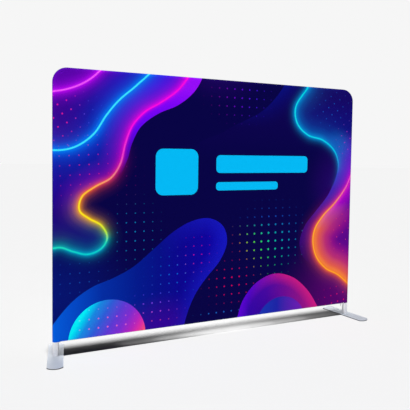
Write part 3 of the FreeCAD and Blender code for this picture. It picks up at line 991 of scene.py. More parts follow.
    def ground_dots(self) -> None:
        """Dots on the open ground: violet above, a small spectrum at the right, teal at the left."""
        shade = self.shade
        pitch = self.dot_pitch
        above = self.dots(0.0, pitch, 0.0080, self.spot((0.18, 2.16), (0.46, 0.34)))
        violet = shade.inks(self.x, [(-0.10, (130, 0, 150)), (0.12, (96, 0, 190)), (0.35, (66, 20, 230))])
        self.lay(violet, above)
        across = shade.math("MULTIPLY_ADD", self.z, 0.5, self.x)
        spectrum = shade.inks(across, [
            (0.48, (222, 0, 88)), (0.57, (236, 90, 34)), (0.64, (212, 204, 34)), (0.71, (124, 222, 34)),
            (0.80, (56, 214, 76)), (0.92, (16, 200, 146)), (1.06, (0, 160, 180)), (1.22, (0, 126, 190))])
        lifted = shade.mix(shade.spread(self.z, 0.86, 1.04), spectrum, linear((12, 66, 176)))
        self.lay(lifted, self.dots(0.0, pitch, 0.0105, self.spot((0.55, 0.87), (0.56, 0.46))))
        self.lay((222, 0, 92), self.dots(0.0, pitch, 0.0084, self.spot((0.13, 0.46), (0.40, 0.32), 0.8)))
        self.lay((20, 90, 190), self.dots(0.0, pitch, 0.0085, self.spot((0.00, 0.17), (0.36, 0.12))))
        self.lay((0, 120, 190), self.dots(0.0, pitch, 0.0080, self.spot((-0.82, 0.95), (0.36, 0.44), 0.7)))
        self.lay((14, 74, 176), self.dots(0.0, pitch, 0.0075, self.spot((-1.30, 0.62), (0.44, 0.28), 0.6)))
        self.lay((220, 10, 100), self.dots(8.0, pitch, 0.0085, self.spot((1.45, 0.16), (0.46, 0.30))))
        self.lay((90, 0, 100), self.dots(0.0, pitch, 0.0070, self.spot((-0.90, 1.45), (0.22, 0.40), 0.6)))

    def left_side(self) -> None:
        """Violet band, the deep blue field and its two upper ribbons."""
        shade = self.shade
        pitch = self.dot_pitch
        band = shade.attribute(VIOLET_BAND.name)
        field = shade.attribute(LEFT_RIBBON.name)
        upper = shade.attribute(UPPER_RIBBON.name)
        corner = shade.attribute(CORNER_ARC.name)
        violet = shade.inks(self.z, [(1.45, (50, 0, 100)), (1.62, (70, 0, 176)), (1.85, (96, 0, 240)),
                                     (2.05, (124, 0, 246)), (2.20, (150, 10, 248))])
        self.lay(violet, self.product(self.inside(band), shade.spread(self.z, 1.38, 1.60, eased=True)))
        blue = shade.inks(self.z, [(0.80, (0, 26, 124)), (0.98, (18, 14, 116)), (1.15, (30, 2, 120)),
                                   (1.35, (32, 2, 142)), (1.55, (18, 4, 144)), (1.75, (20, 0, 160)),
                                   (2.20, (52, 0, 226))])
        self.lay(blue, self.inside(field))
        self.lay((104, 0, 200), self.product(self.inside(field), shade.spread(field, 0.20, 0.0, 0.0, 0.70),
                                             shade.spread(self.z, 1.10, 1.60)))
        self.lay(shade.inks(self.x, [(-1.45, (52, 0, 140)), (-1.20, (22, 0, 148)), (-0.95, (30, 0, 176))]),
                 self.inside(upper))
        self.lay((0, 66, 220), self.product(self.inside(field), self.glow(upper, 0.42, 0.48, 0.98)))
        self.lay((0, 146, 255), self.product(self.inside(field), self.glow(upper, 0.13, 0.13, 0.85)))
        pink = self.dots(28.0, pitch, 0.0078, self.spot((-1.46, 1.95), (0.30, 0.38)))
        self.lay((214, 24, 150), self.product(pink, self.inside(field)))
        sky = self.dots(28.0, pitch, 0.0068, self.spot((-1.22, 1.92), (0.24, 0.30), 0.6))
        self.lay((50, 70, 226), self.product(sky, self.inside(field)))
        low = self.dots(3.0, pitch, 0.0068, self.spot((-1.22, 1.48), (0.50, 0.46), 0.75))
        self.lay((190, 20, 140), self.product(low, self.inside(field)))
        self.lay((60, 232, 255), self.line(upper, 0.0066))
        self.lay((78, 0, 160), self.inside(corner))
        self.lay((150, 0, 226), self.glow(corner, 0.30, 0.26, 0.98))
        self.lay((212, 10, 248), self.glow(corner, 0.10, 0.10, 0.80))
        self.lay((244, 84, 252), self.line(corner, 0.0064))

    def left_ribbon(self) -> None:
        """The long ribbon down the left side, from magenta through orange and yellow to teal."""
        shade = self.shade
        field = shade.attribute(LEFT_RIBBON.name)
        halo = shade.inks(self.z, [(0.84, (0, 130, 176)), (0.93, (10, 150, 150)), (1.00, (110, 150, 60)),
                                   (1.08, (214, 150, 30)), (1.20, (240, 130, 30)), (1.32, (232, 70, 60)),
                                   (1.45, (206, 10, 130)), (1.65, (190, 0, 200)), (2.10, (205, 0, 232))])
        below = self.product(self.glow(field, 0.20, 0.14, 0.92), shade.spread(self.z, 1.72, 1.42))
        above = self.product(self.glow(field, 0.22, 0.040, 0.95), shade.spread(self.z, 1.42, 1.72))
        self.lay(halo, below)
        self.lay(halo, above)
        bright = shade.inks(self.z, [(0.84, (0, 186, 214)), (0.93, (30, 200, 150)), (1.00, (170, 214, 50)),
                                     (1.10, (250, 196, 20)), (1.24, (252, 160, 24)), (1.34, (250, 110, 40)),
                                     (1.46, (236, 50, 100)), (1.60, (236, 10, 190)), (2.10, (236, 0, 232))])
        self.lay(bright, self.glow(field, 0.085, 0.065, 0.80))
        core = shade.inks(self.z, [(0.82, (6, 206, 204)), (0.90, (30, 222, 184)), (0.98, (180, 236, 70)),
                                   (1.08, (255, 232, 24)), (1.22, (255, 228, 40)), (1.34, (255, 176, 60)),
                                   (1.48, (236, 110, 150)), (1.62, (240, 60, 200)), (1.85, (250, 10, 226)),
                                   (2.20, (250, 10, 220))])
        self.lay(core, self.line(field, 0.0068))

    def right_side(self) -> None:
        """The cyan ribbon's field at the upper right, and the ember field beside it."""
        shade = self.shade
        field = shade.attribute(RIGHT_RIBBON.name)
        ember = shade.attribute(EMBER_RIBBON.name)
        deep = shade.inks(self.z, [(0.60, (44, 0, 104)), (1.00, (48, 6, 124)), (1.25, (56, 34, 172)),
                                   (1.50, (66, 40, 192)), (1.68, (50, 40, 186)), (1.85, (12, 10, 126)),
                                   (2.20, (18, 4, 98))])
        self.lay(deep, self.product(self.inside(field), shade.spread(self.z, 0.48, 0.80)))
        edge_glow = self.product(self.inside(field), shade.spread(self.x, 1.28, 1.52),
                                 shade.spread(self.z, 1.9, 1.5))
        self.lay((96, 0, 194), self.product(edge_glow, shade.spread(self.z, 0.7, 1.2)))
        self.lay((0, 96, 190), self.product(self.glow(field, 0.40, 0.13, 0.98),
                                            shade.spread(self.z, 1.30, 1.75)))
        self.lay((0, 168, 222), self.product(self.glow(field, 0.12, 0.09, 0.80),
                                             shade.spread(self.z, 1.45, 1.75)))
        self.lay((10, 100, 190), self.product(self.inside(field), self.spot((1.30, 1.74), (0.22, 0.20), 0.6)))
        blue = self.dots(32.0, 0.080, 0.0075, self.spot((1.22, 2.08), (0.40, 0.36), 0.8))
        self.lay((16, 80, 190), self.product(blue, self.inside(field)))
        pink = self.dots(32.0, 0.080, 0.0075, self.spot((1.42, 1.78), (0.20, 0.30), 0.8))
        self.lay((170, 50, 190), self.product(pink, self.inside(field)))
        core = shade.inks(self.z, [(1.10, (60, 40, 170)), (1.45, (50, 70, 210)), (1.68, (0, 190, 226)),
                                   (1.95, (20, 226, 236)), (2.25, (0, 216, 224))])
        self.lay(core, self.product(self.line(field, 0.0066), shade.spread(self.z, 1.25, 1.62)))

        warm = shade.inks(ember, [(0.00, (250, 146, 48)), (0.06, (226, 92, 74)), (0.15, (184, 44, 116)),
                                  (0.24, (138, 12, 134)), (0.31, (96, 3, 138)), (0.40, (84, 2, 134))])
        high = shade.inks(ember, [(0.00, (214, 26, 196)), (0.05, (160, 4, 190)), (0.15, (100, 0, 160)),
                                  (0.30, (88, 0, 140))])
        self.lay(shade.mix(shade.spread(self.z, 0.90, 1.16), warm, high), self.inside(ember))
        halo = shade.inks(self.z, [(0.30, (244, 90, 40)), (1.00, (236, 60, 66)), (1.25, (210, 10, 150)),
                                   (1.50, (190, 0, 220))])
        self.lay(halo, self.glow(ember, 0.06, 0.20, 0.90))
        self.lay(shade.inks(self.z, [(0.30, (255, 140, 30)), (1.10, (252, 120, 60)), (1.35, (226, 40, 190))]),
                 self.glow(ember, 0.045, 0.06, 0.70))
        dots = self.dots(30.0, 0.084, 0.0070, self.spot((1.38, 0.86), (0.24, 0.50), 0.8))
        self.lay((226, 50, 110), self.product(dots, self.inside(ember)))
        core = shade.inks(self.z, [(0.30, (255, 160, 40)), (0.95, (255, 180, 44)), (1.15, (246, 146, 84)),
                                   (1.35, (236, 90, 190)), (1.60, (236, 60, 236))])
        self.lay(core, self.line(ember, 0.0062))

    def lower_shapes(self) -> None:
        """The blue hill with its disc at the left, and the dome with its inner disc."""
        shade = self.shade
        pitch = self.dot_pitch
        hill = shade.attribute(BLUE_HILL.name)
        ink = shade.inks(self.x, [(-1.50, (0, 92, 218)), (-1.35, (0, 74, 200)), (-1.10, (0, 44, 162)),
                                  (-0.80, (0, 24, 140)), (-0.60, (3, 12, 134)), (-0.40, (8, 2, 142)),
                                  (-0.15, (12, 0, 156)), (0.05, (14, 10, 182))])
        self.lay(ink, self.inside(hill))
        self.lay((52, 0, 150), self.product(self.inside(hill), self.spot((-0.58, 0.12), (0.42, 0.34), 0.9)))
        self.lay((22, 26, 190), self.product(self.inside(hill), shade.spread(hill, 0.16, 0.0, 0.0, 0.6),
                                             shade.spread(self.x, -0.60, -0.20)))
        sky = self.dots(0.0, pitch, 0.0080, self.spot((-0.46, 0.58), (0.36, 0.36), 0.7))
        self.lay((0, 100, 226), self.product(sky, self.inside(hill)))
        rose = self.dots(0.0, pitch, 0.0075, self.spot((-0.24, 0.74), (0.26, 0.28), 0.7))
        self.lay((196, 0, 150), self.product(rose, self.inside(hill)))
        plum = self.dots(0.0, pitch, 0.0082, self.spot((-0.64, 0.32), (0.38, 0.28), 0.8))
        self.lay(shade.inks(self.z, [(0.18, (236, 70, 120)), (0.30, (140, 60, 226)), (0.42, (70, 60, 226))]),
                 self.product(plum, self.inside(hill)))

        disc = self.disc_distance((-1.05, 0.09), 0.33)
        slant = shade.math("MULTIPLY_ADD", self.z, -0.667, self.x)
        ink = shade.inks(slant, [(-1.47, (0, 238, 248)), (-1.43, (0, 196, 240)), (-1.38, (22, 136, 226)),
                                 (-1.28, (46, 92, 216)), (-1.16, (92, 58, 212)), (-1.05, (126, 44, 208)),
                                 (-0.95, (178, 36, 190)), (-0.88, (222, 44, 164)), (-0.80, (250, 84, 96))])
        self.lay(ink, self.inside(disc))
        coral = self.dots(0.0, pitch, 0.0085, self.spot((-1.04, 0.18), (0.40, 0.26)))
        self.lay((224, 100, 200), self.product(coral, self.inside(disc)))

        dome = shade.attribute(DOME.name)
        ink = shade.inks(self.x, [(0.17, (88, 0, 208)), (0.30, (54, 2, 168)), (0.50, (72, 4, 160)),
                                  (0.70, (108, 8, 146)), (0.90, (138, 16, 134)), (1.10, (176, 26, 132))])
        self.lay(ink, self.inside(dome))
        self.lay((34, 0, 150), self.product(self.inside(dome), self.spot((0.52, 0.06), (0.36, 0.34), 0.8)))
        rim = self.product(self.inside(dome), shade.spread(dome, 0.11, 0.0, 0.0, 0.85),
                           shade.spread(self.x, 0.30, 0.72))
        self.lay((208, 26, 128), rim)
        self.lay((92, 0, 214), self.product(self.inside(dome), shade.spread(dome, 0.10, 0.0, 0.0, 0.7),
                                            shade.spread(self.x, 0.62, 0.30)))
        inner = self.disc_distance((0.67, -0.02), 0.29)
        ink = shade.inks(self.x, [(0.40, (22, 54, 176)), (0.62, (28, 34, 166)), (0.92, (112, 26, 178))])
        self.lay(ink, self.inside(inner))

    def mark(self) -> None:
        """A plain tile and two plain bars."""
        for centre, size, corner in (
                ((-0.44, 1.475), (0.40, 0.40), 0.07),
                ((0.44, 1.545), (1.00, 0.16), 0.04),
                ((0.27, 1.345), (0.66, 0.075), 0.03)):
            self.lay(self.cyan, self.inside(self.tile_distance(centre, size, corner)))


@dataclass(frozen=True)
class PrintedCloth(Finish):
    """Dye-printed stretch knit: the artwork's inks sunk into a fine matt knit."""

    slot: ClassVar[str] = "printed_cloth"
    roughness: float = 0.78

    def paint(self, shade: Shade) -> None:
        """Build the finish in a material.

        Args:
            shade: The material to fill.
        """
        art = Artwork(shade)
        art.ground()
        art.ground_dots()
        art.left_side()
        art.left_ribbon()
        art.right_side()
        art.lower_shapes()
        art.mark()
        uneven = shade.noise(art.flat, 900.0, 2.0)
        shares = shade.spread(uneven, 0.2, 0.8, 0.93, 1.04)
        worn = shade.vector("SCALE", art.colour)
        shade.plug(worn.inputs["Scale"], shares)
        shade.finish(Base_Color=worn.outputs[0], Roughness=self.roughness, Normal=knit_relief(shade, 0.3))
        shade.finish(Specular_IOR_Level=0.03)


# ---------------------------------------------------------------- cover

class Facing(Enum):
    """Which way a half of the cover faces, as the sign of its Y."""

    FRONT = -1
    BACK = 1


@dataclass
class Patch:
    """A rectangular net of points of the cloth, with their places on the flat cloth."""

    points: np.ndarray
    flat: np.ndarray


@dataclass
class CoverCloth:
    """One half of the cover: a flat face that wraps the posts, the top and the bottom rail."""

    facing: Facing
    half_width: float
    top: float
    bottom: float
    depth: float
    corner_radius: float = 0.120
    fold_rise: float = 0.0258
    tab_rise: float = 0.005
    zip_half: float = 1.44
    cell: float = 0.014
    wrap_steps: int = 6
    tape_angle_deg: float = 65.0
    thickness: float = 0.0005
    dip: float = 0.0012

    def __post_init__(self) -> None:
        """Work out the centre lines that the cloth is stretched over."""
        self.radius = self.depth
        self.post_x = self.half_width - self.radius
        self.top_z = self.top - self.radius
        self.fold_z = self.bottom + self.fold_rise
        self.tab_bottom = self.bottom + self.tab_rise
        self.bend = self.corner_radius - self.radius
        self.bend_x = self.post_x - self.bend
        self.bend_z = self.top_z - self.bend

    @property
    def name(self) -> str:
        """Name of the piece."""
        return {Facing.FRONT: "printed_front", Facing.BACK: "lining_back"}[self.facing]

    @property
    def node(self) -> str:
        """The CAD node that it stands for."""
        return {Facing.FRONT: "front_cover", Facing.BACK: "back_cover"}[self.facing]

    def lines(self, marks: Sequence[float]) -> np.ndarray:
        """Evenly spaced values that include every mark.

        Args:
            marks: Values in rising order that have to be there.

        Returns:
            The values, at most one cell apart.
        """
        values = [np.array([marks[0]])]
        for low, high in zip(marks, marks[1:]):
            count = max(1, math.ceil((high - low) / self.cell - 1e-6))
            values.append(np.linspace(low, high, count + 1)[1:])
        return np.concatenate(values)

    def round_corners(self, x: np.ndarray, z: np.ndarray) -> tuple[np.ndarray, np.ndarray]:
        """Carry the square top corners of the net onto the bends of the frame.

        Args:
            x: Places along the width.
            z: Heights.

        Returns:
            The carried places and heights.
        """
        a = np.clip(np.abs(x) - self.bend_x, 0, None)
        b = np.clip(z - self.bend_z, 0, None)
        both = (a > 0) & (b > 0)
        scale = np.where(both, np.maximum(a, b) / np.maximum(np.hypot(a, b), 1e-9), 1.0)
        new_x = np.where(both, np.sign(x) * (self.bend_x + a * scale), x)
        new_z = np.where(both, self.bend_z + b * scale, z)
        return new_x, new_z

    def slack(self, x: np.ndarray, z: np.ndarray) -> np.ndarray:
        """How far the stretched face gives inwards, away from the tubes and the centre pole.

        Args:
            x: Places along the width.
            z: Heights.

        Returns:
            The depth at each place.
        """
        pole_and_posts = np.abs(np.sin(np.pi * x / self.post_x))
        height = np.clip((z - self.fold_z) / (self.top_z - self.fold_z), 0, 1)
        face = self.dip * pole_and_posts * np.sin(np.pi * height) ** 0.6
        near_zip = np.exp(-np.clip(z - self.fold_z, 0, None) / 0.09)
        gather = 0.0005 * near_zip * np.sin(x * 41.0) * np.sin(x * 17.3 + 1.0)
        rise = np.clip(z - self.fold_z, 0, 0.03) / 0.03
        return face + gather * rise

    def face_patch(self) -> Patch:
        """The flat face between the centre lines of the tubes.

        Returns:
            The patch.
        """
        marks_x = [-self.post_x, -self.zip_half, -self.bend_x, self.bend_x, self.zip_half, self.post_x]
        x, z = np.meshgrid(self.lines(marks_x), self.lines([self.fold_z, self.bend_z, self.top_z]),
                           indexing="ij")
        x, z = self.round_corners(x, z)
        y = -self.radius + self.slack(x, z)
        return Patch(np.stack([x, y, z], -1), np.stack([x, np.zeros_like(x), z], -1))

    def tab_patch(self, side: int) -> Patch:
        """The short flat tab in front of a post, beside the zip.

        Args:
            side: -1 for the left end and 1 for the right.

        Returns:
            The patch.
        """
        marks = sorted((side * self.zip_half, side * self.post_x))
        x, z = np.meshgrid(self.lines(marks), self.lines([self.tab_bottom, self.fold_z]), indexing="ij")
        y = np.full_like(x, -self.radius)
        return Patch(np.stack([x, y, z], -1), np.stack([x, np.zeros_like(x), z], -1))

    def rolled(self, edge: np.ndarray, normals: np.ndarray, last_deg: float, steps: int) -> Patch:
        """Cloth that rolls back round a tube from an edge of the flat face.

        Args:
            edge: The edge's points, x and z.
            normals: Direction away from the face at each point.
            last_deg: How far round the tube it reaches.
            steps: Number of steps round the tube.

        Returns:
            The patch.
        """
        turn = np.radians(np.linspace(0, last_deg, steps + 1))[None, :, None]
        out = edge[:, None, :] + normals[:, None, :] * self.radius * np.sin(turn)
        y = np.broadcast_to(-self.radius * np.cos(turn), out.shape[:2] + (1,))
        flat = edge[:, None, :] + normals[:, None, :] * self.radius * turn
        return Patch(np.concatenate([out[..., :1], y, out[..., 1:]], -1),
                     np.concatenate([flat[..., :1], np.zeros_like(y), flat[..., 1:]], -1))

    def rim(self) -> tuple[np.ndarray, np.ndarray]:
        """The edge of the face up the left post, over the top and down the right post.

        Returns:
            The edge's points, x and z, and the direction away from the face at each.
        """
        heights = np.concatenate([self.lines([self.tab_bottom, self.fold_z])[:-1],
                                  self.lines([self.fold_z, self.bend_z, self.top_z])])
        marks_x = [-self.post_x, -self.zip_half, -self.bend_x, self.bend_x, self.zip_half, self.post_x]
        across = self.lines(marks_x)
        x = np.concatenate([np.full(len(heights), -self.post_x), across[1:],
                            np.full(len(heights) - 1, self.post_x)])
        z = np.concatenate([heights, np.full(len(across) - 1, self.top_z), heights[::-1][1:]])
        x, z = self.round_corners(x, z)
        side = np.clip(np.abs(x) - self.bend_x, 0, None) * np.sign(x)
        rise = np.clip(z - self.bend_z, 0, None)
        side = np.where(z < self.bend_z, self.bend * np.sign(x), side)
        normals = np.stack([side, rise], -1)
        normals = normals / np.linalg.norm(normals, axis=1, keepdims=True)
        return np.stack([x, z], -1), normals

    def patches(self) -> list[Patch]:
        """Every patch of this half, for a front that faces -Y.

        Returns:
            The patches.
        """
        edge, normals = self.rim()
        low_x = self.lines([-self.zip_half, -self.bend_x, self.bend_x, self.zip_half])[::-1]
        low_edge = np.stack([low_x, np.full_like(low_x, self.fold_z)], -1)
        down = np.tile(np.array([0.0, -1.0]), (len(low_x), 1))
        return [
            self.face_patch(),
            self.tab_patch(-1),
            self.tab_patch(1),
            self.rolled(edge, normals, 90.0, self.wrap_steps),
            self.rolled(low_edge, down, self.tape_angle_deg, self.wrap_steps - 1),
        ]

    def flat_size(self) -> tuple[float, float, float]:
        """Size of the flat cut, in metres.

        Returns:
            Its width, length and area.
        """
        quarter = self.radius * math.pi / 2
        width = 2 * (self.post_x + quarter)
        length = self.top_z + quarter - self.fold_z + self.radius * math.radians(self.tape_angle_deg)
        lost = 2 * (1 - math.pi / 4) * (self.bend + quarter) ** 2
        return width, length, width * length - lost

    def build(self, finish: Finish) -> bpy.types.Object:
        """Make the cloth, with the print's distances on its points.

        Args:
            finish: Its finish.

        Returns:
            The piece.
        """
        points, flats, faces, first = [], [], [], 0
        for patch in self.patches():
            rows, columns = patch.points.shape[:2]
            points.append(patch.points.reshape(-1, 3))
            flats.append(patch.flat.reshape(-1, 3))
            number = np.arange(rows * columns).reshape(rows, columns) + first
            quads = np.stack([number[:-1, :-1], number[1:, :-1], number[1:, 1:], number[:-1, 1:]], -1)
            faces.append(quads.reshape(-1, 4))
            first += rows * columns
        place = np.concatenate(points)
        corners = np.concatenate(faces)
        if self.facing is Facing.BACK:
            place = place * np.array([1.0, -1.0, 1.0])
            corners = corners[:, ::-1]
        piece = mesh_piece(self.name, place, corners)
        flat = np.concatenate(flats)
        self.carry(piece, "flat_place", "FLOAT_VECTOR", "vector", flat)
        if self.facing is Facing.FRONT:
            for outline in OUTLINES:
                self.carry(piece, outline.name, "FLOAT", "value", outline.distance(flat[:, [0, 2]]))
        shape = bmesh.new()
        shape.from_mesh(piece.data)
        bmesh.ops.remove_doubles(shape, verts=shape.verts, dist=MERGE)
        shape.to_mesh(piece.data)
        shape.free()
        apply_modifier(piece, "SOLIDIFY", thickness=self.thickness, offset=-1.0)
        select_only(piece)
        bpy.ops.object.shade_smooth()
        hand_over(piece, finish, self.node)
        return piece

    @staticmethod
    def carry(piece: bpy.types.Object, name: str, kind: str, key: str, values: np.ndarray) -> None:
        """Store one value for each point of a piece's mesh."""
        attribute = piece.data.attributes.new(name, kind, "POINT")
        attribute.data.foreach_set(key, values.astype(np.float32).ravel())


@dataclass
class Thread:
    """A run of sewing thread that follows points on the cover."""

    name: str
    thickness: float = 0.00045
    sides: int = 5

    def build(self, path: np.ndarray, outwards: np.ndarray) -> bpy.types.Object:
        """Make the thread.

        Args:
            path: Its points.
            outwards: Direction away from the cloth at each point.

        Returns:
            The piece.
        """
        forward = np.gradient(path, axis=0)
        forward /= np.linalg.norm(forward, axis=1, keepdims=True)
        across = np.cross(forward, outwards)
        across /= np.linalg.norm(across, axis=1, keepdims=True)
        up = np.cross(across, forward)
        turns = np.arange(self.sides) * math.tau / self.sides
        radius = self.thickness / 2
        cosines, sines = np.cos(turns)[None, :, None], np.sin(turns)[None, :, None]
        ring = radius * (cosines * across[:, None] + sines * up[:, None])
        points = (path[:, None] + ring).reshape(-1, 3)
        number = np.arange(len(path) * self.sides).reshape(len(path), self.sides)
        beside = np.roll(number, -1, axis=1)
        quads = np.stack([number[:-1], beside[:-1], beside[1:], number[1:]], -1).reshape(-1, 4)
        ends = [number[0].tolist(), number[-1][::-1].tolist()]
        piece = mesh_piece(self.name, points, quads.tolist() + ends)
        outward(piece)
        select_only(piece)
        bpy.ops.object.shade_smooth()
        hand_over(piece, SewingThread(), "front_cover", stands_for_it=False)
        return piece


@dataclass
class Stitching:
    """The cover's seams: a zigzag over the posts and the top, and two rows beside the zip."""

    cloth: CoverCloth
    pitch: float = 0.003
    zigzag_half: float = 0.0018
    lift: float = 0.00018

    def seam(self) -> bpy.types.Object:
        """Zigzag seam where the front and the back meet.

        Returns:
            The piece.
        """
        cloth = self.cloth
        arc = math.pi / 2 * cloth.bend
        rise = cloth.bend_z - cloth.tab_bottom
        across = 2 * cloth.bend_x
        total = 2 * rise + 2 * arc + across
        s = np.arange(0, total, self.pitch / 2)
        path, normals = [], []
        for here in s:
            if here > total / 2:
                point, normal = self.rim_point(total - here, rise, arc)
                point, normal = (-point[0], point[1]), (-normal[0], normal[1])
            else:
                point, normal = self.rim_point(here, rise, arc)
            path.append(point)
            normals.append(normal)
        path, normals = np.array(path), np.array(normals)
        swing = np.where(np.arange(len(s)) % 2 == 0, self.zigzag_half, -self.zigzag_half)
        outer = cloth.radius + self.lift - swing ** 2 / cloth.radius / 2
        place = path + normals * outer[:, None]
        points = np.stack([place[:, 0], swing, place[:, 1]], -1)
        away = np.stack([normals[:, 0], np.zeros(len(s)), normals[:, 1]], -1)
        return Thread("cover_seam_thread").build(points, away)

    def rim_point(self, s: float, rise: float, arc: float) -> tuple[Point, Point]:
        """A place on the left half of the rim.

        Args:
            s: Length along the rim from its lower end.
            rise: Length of its straight side.
            arc: Length of its bend.

        Returns:
            The point and the outward direction there, x and z.
        """
        cloth = self.cloth
        if s < rise:
            return (-cloth.post_x, cloth.tab_bottom + s), (-1.0, 0.0)
        if s < rise + arc:
            turn = (s - rise) / cloth.bend
            out = (-math.cos(turn), math.sin(turn))
            return (-cloth.bend_x + out[0] * cloth.bend, cloth.bend_z + out[1] * cloth.bend), out
        return (-cloth.bend_x + s - rise - arc, cloth.top_z), (0.0, 1.0)

    def zip_row(self, facing: Facing) -> bpy.types.Object:
        """Straight row of stitches that holds a zip tape to the cloth.

        Args:
            facing: The half of the cover that it is on.

        Returns:
            The piece.
        """
        cloth = self.cloth
        x = np.arange(-cloth.zip_half + self.pitch, cloth.zip_half - self.pitch, self.pitch / 2)
        turn = math.radians(cloth.tape_angle_deg - 4.0)
        step = np.arange(len(x)) % 2
        height = cloth.radius + np.where(step == 0, self.lift, -self.lift)
        y = facing.value * height * math.cos(turn)
        points = np.stack([x, y, cloth.fold_z - height * math.sin(turn)], -1)
        away = np.tile([0.0, facing.value * math.cos(turn), -math.sin(turn)], (len(x), 1))
        return Thread(facing.name.lower() + "_zip_stitching").build(points, away)


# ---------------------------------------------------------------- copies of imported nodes

@dataclass(frozen=True)
class SmoothCopy:
    """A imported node's shape, merged, eased on its edges and shaded smooth."""

    node: str
    finish: Finish
    edge: float = 0.0
    edge_segments: int = 2
    sharp_deg: float = 35.0

    def build(self, name: str) -> bpy.types.Object:
        """Make the piece that stands for the node.

        Args:
            name: Name of the piece.

        Returns:
            The piece.
        """
        source = frame["nodes"][self.node]
        piece = bpy.data.objects.new(name, source.data.copy())
        bpy.context.scene.collection.objects.link(piece)
        shape = bmesh.new()
        shape.from_mesh(piece.data)
        bmesh.ops.remove_doubles(shape, verts=shape.verts, dist=MERGE)
        bmesh.ops.dissolve_limit(shape, angle_limit=math.radians(0.5), verts=shape.verts, edges=shape.edges)
        shape.to_mesh(piece.data)
        shape.free()
        if self.edge:
            apply_modifier(piece, "BEVEL", width=self.edge, segments=self.edge_segments,
                           limit_method="ANGLE", angle_limit=math.radians(self.sharp_deg))
        smooth_by_angle(piece, self.sharp_deg)
        hand_over(piece, self.finish, self.node)
        return piece


@dataclass
class FrameTubes:
    """The tubes of the frame, their snap buttons and the leaf springs behind them."""

    tube_edge: float = 0.0004

    def build(self) -> None:
        """Make every tube, button and spring."""
        upright = ("upright", "pole")
        for node in sorted(frame["nodes"]):
            slot = frame["nodes"][node].data.materials[0].name
            if slot == SatinTube.slot:
                grain = Axis.ALONG_Z if node.endswith(upright) else Axis.ALONG_X
                grain = Axis.EVEN if node.endswith(("corner_tube", "tee")) else grain
                SmoothCopy(node, SatinTube(grain), self.tube_edge).build(node + "_tube")
            elif slot == NickelPlate.slot:
                SmoothCopy(node, NickelPlate()).build(node + "_plated")
        SmoothCopy("button_springs", SpringSteel(), 0.0002).build("leaf_springs")


# ---------------------------------------------------------------- feet

class Side(Enum):
    """Which end of the stand, as the sign of its X."""

    LEFT = -1
    RIGHT = 1


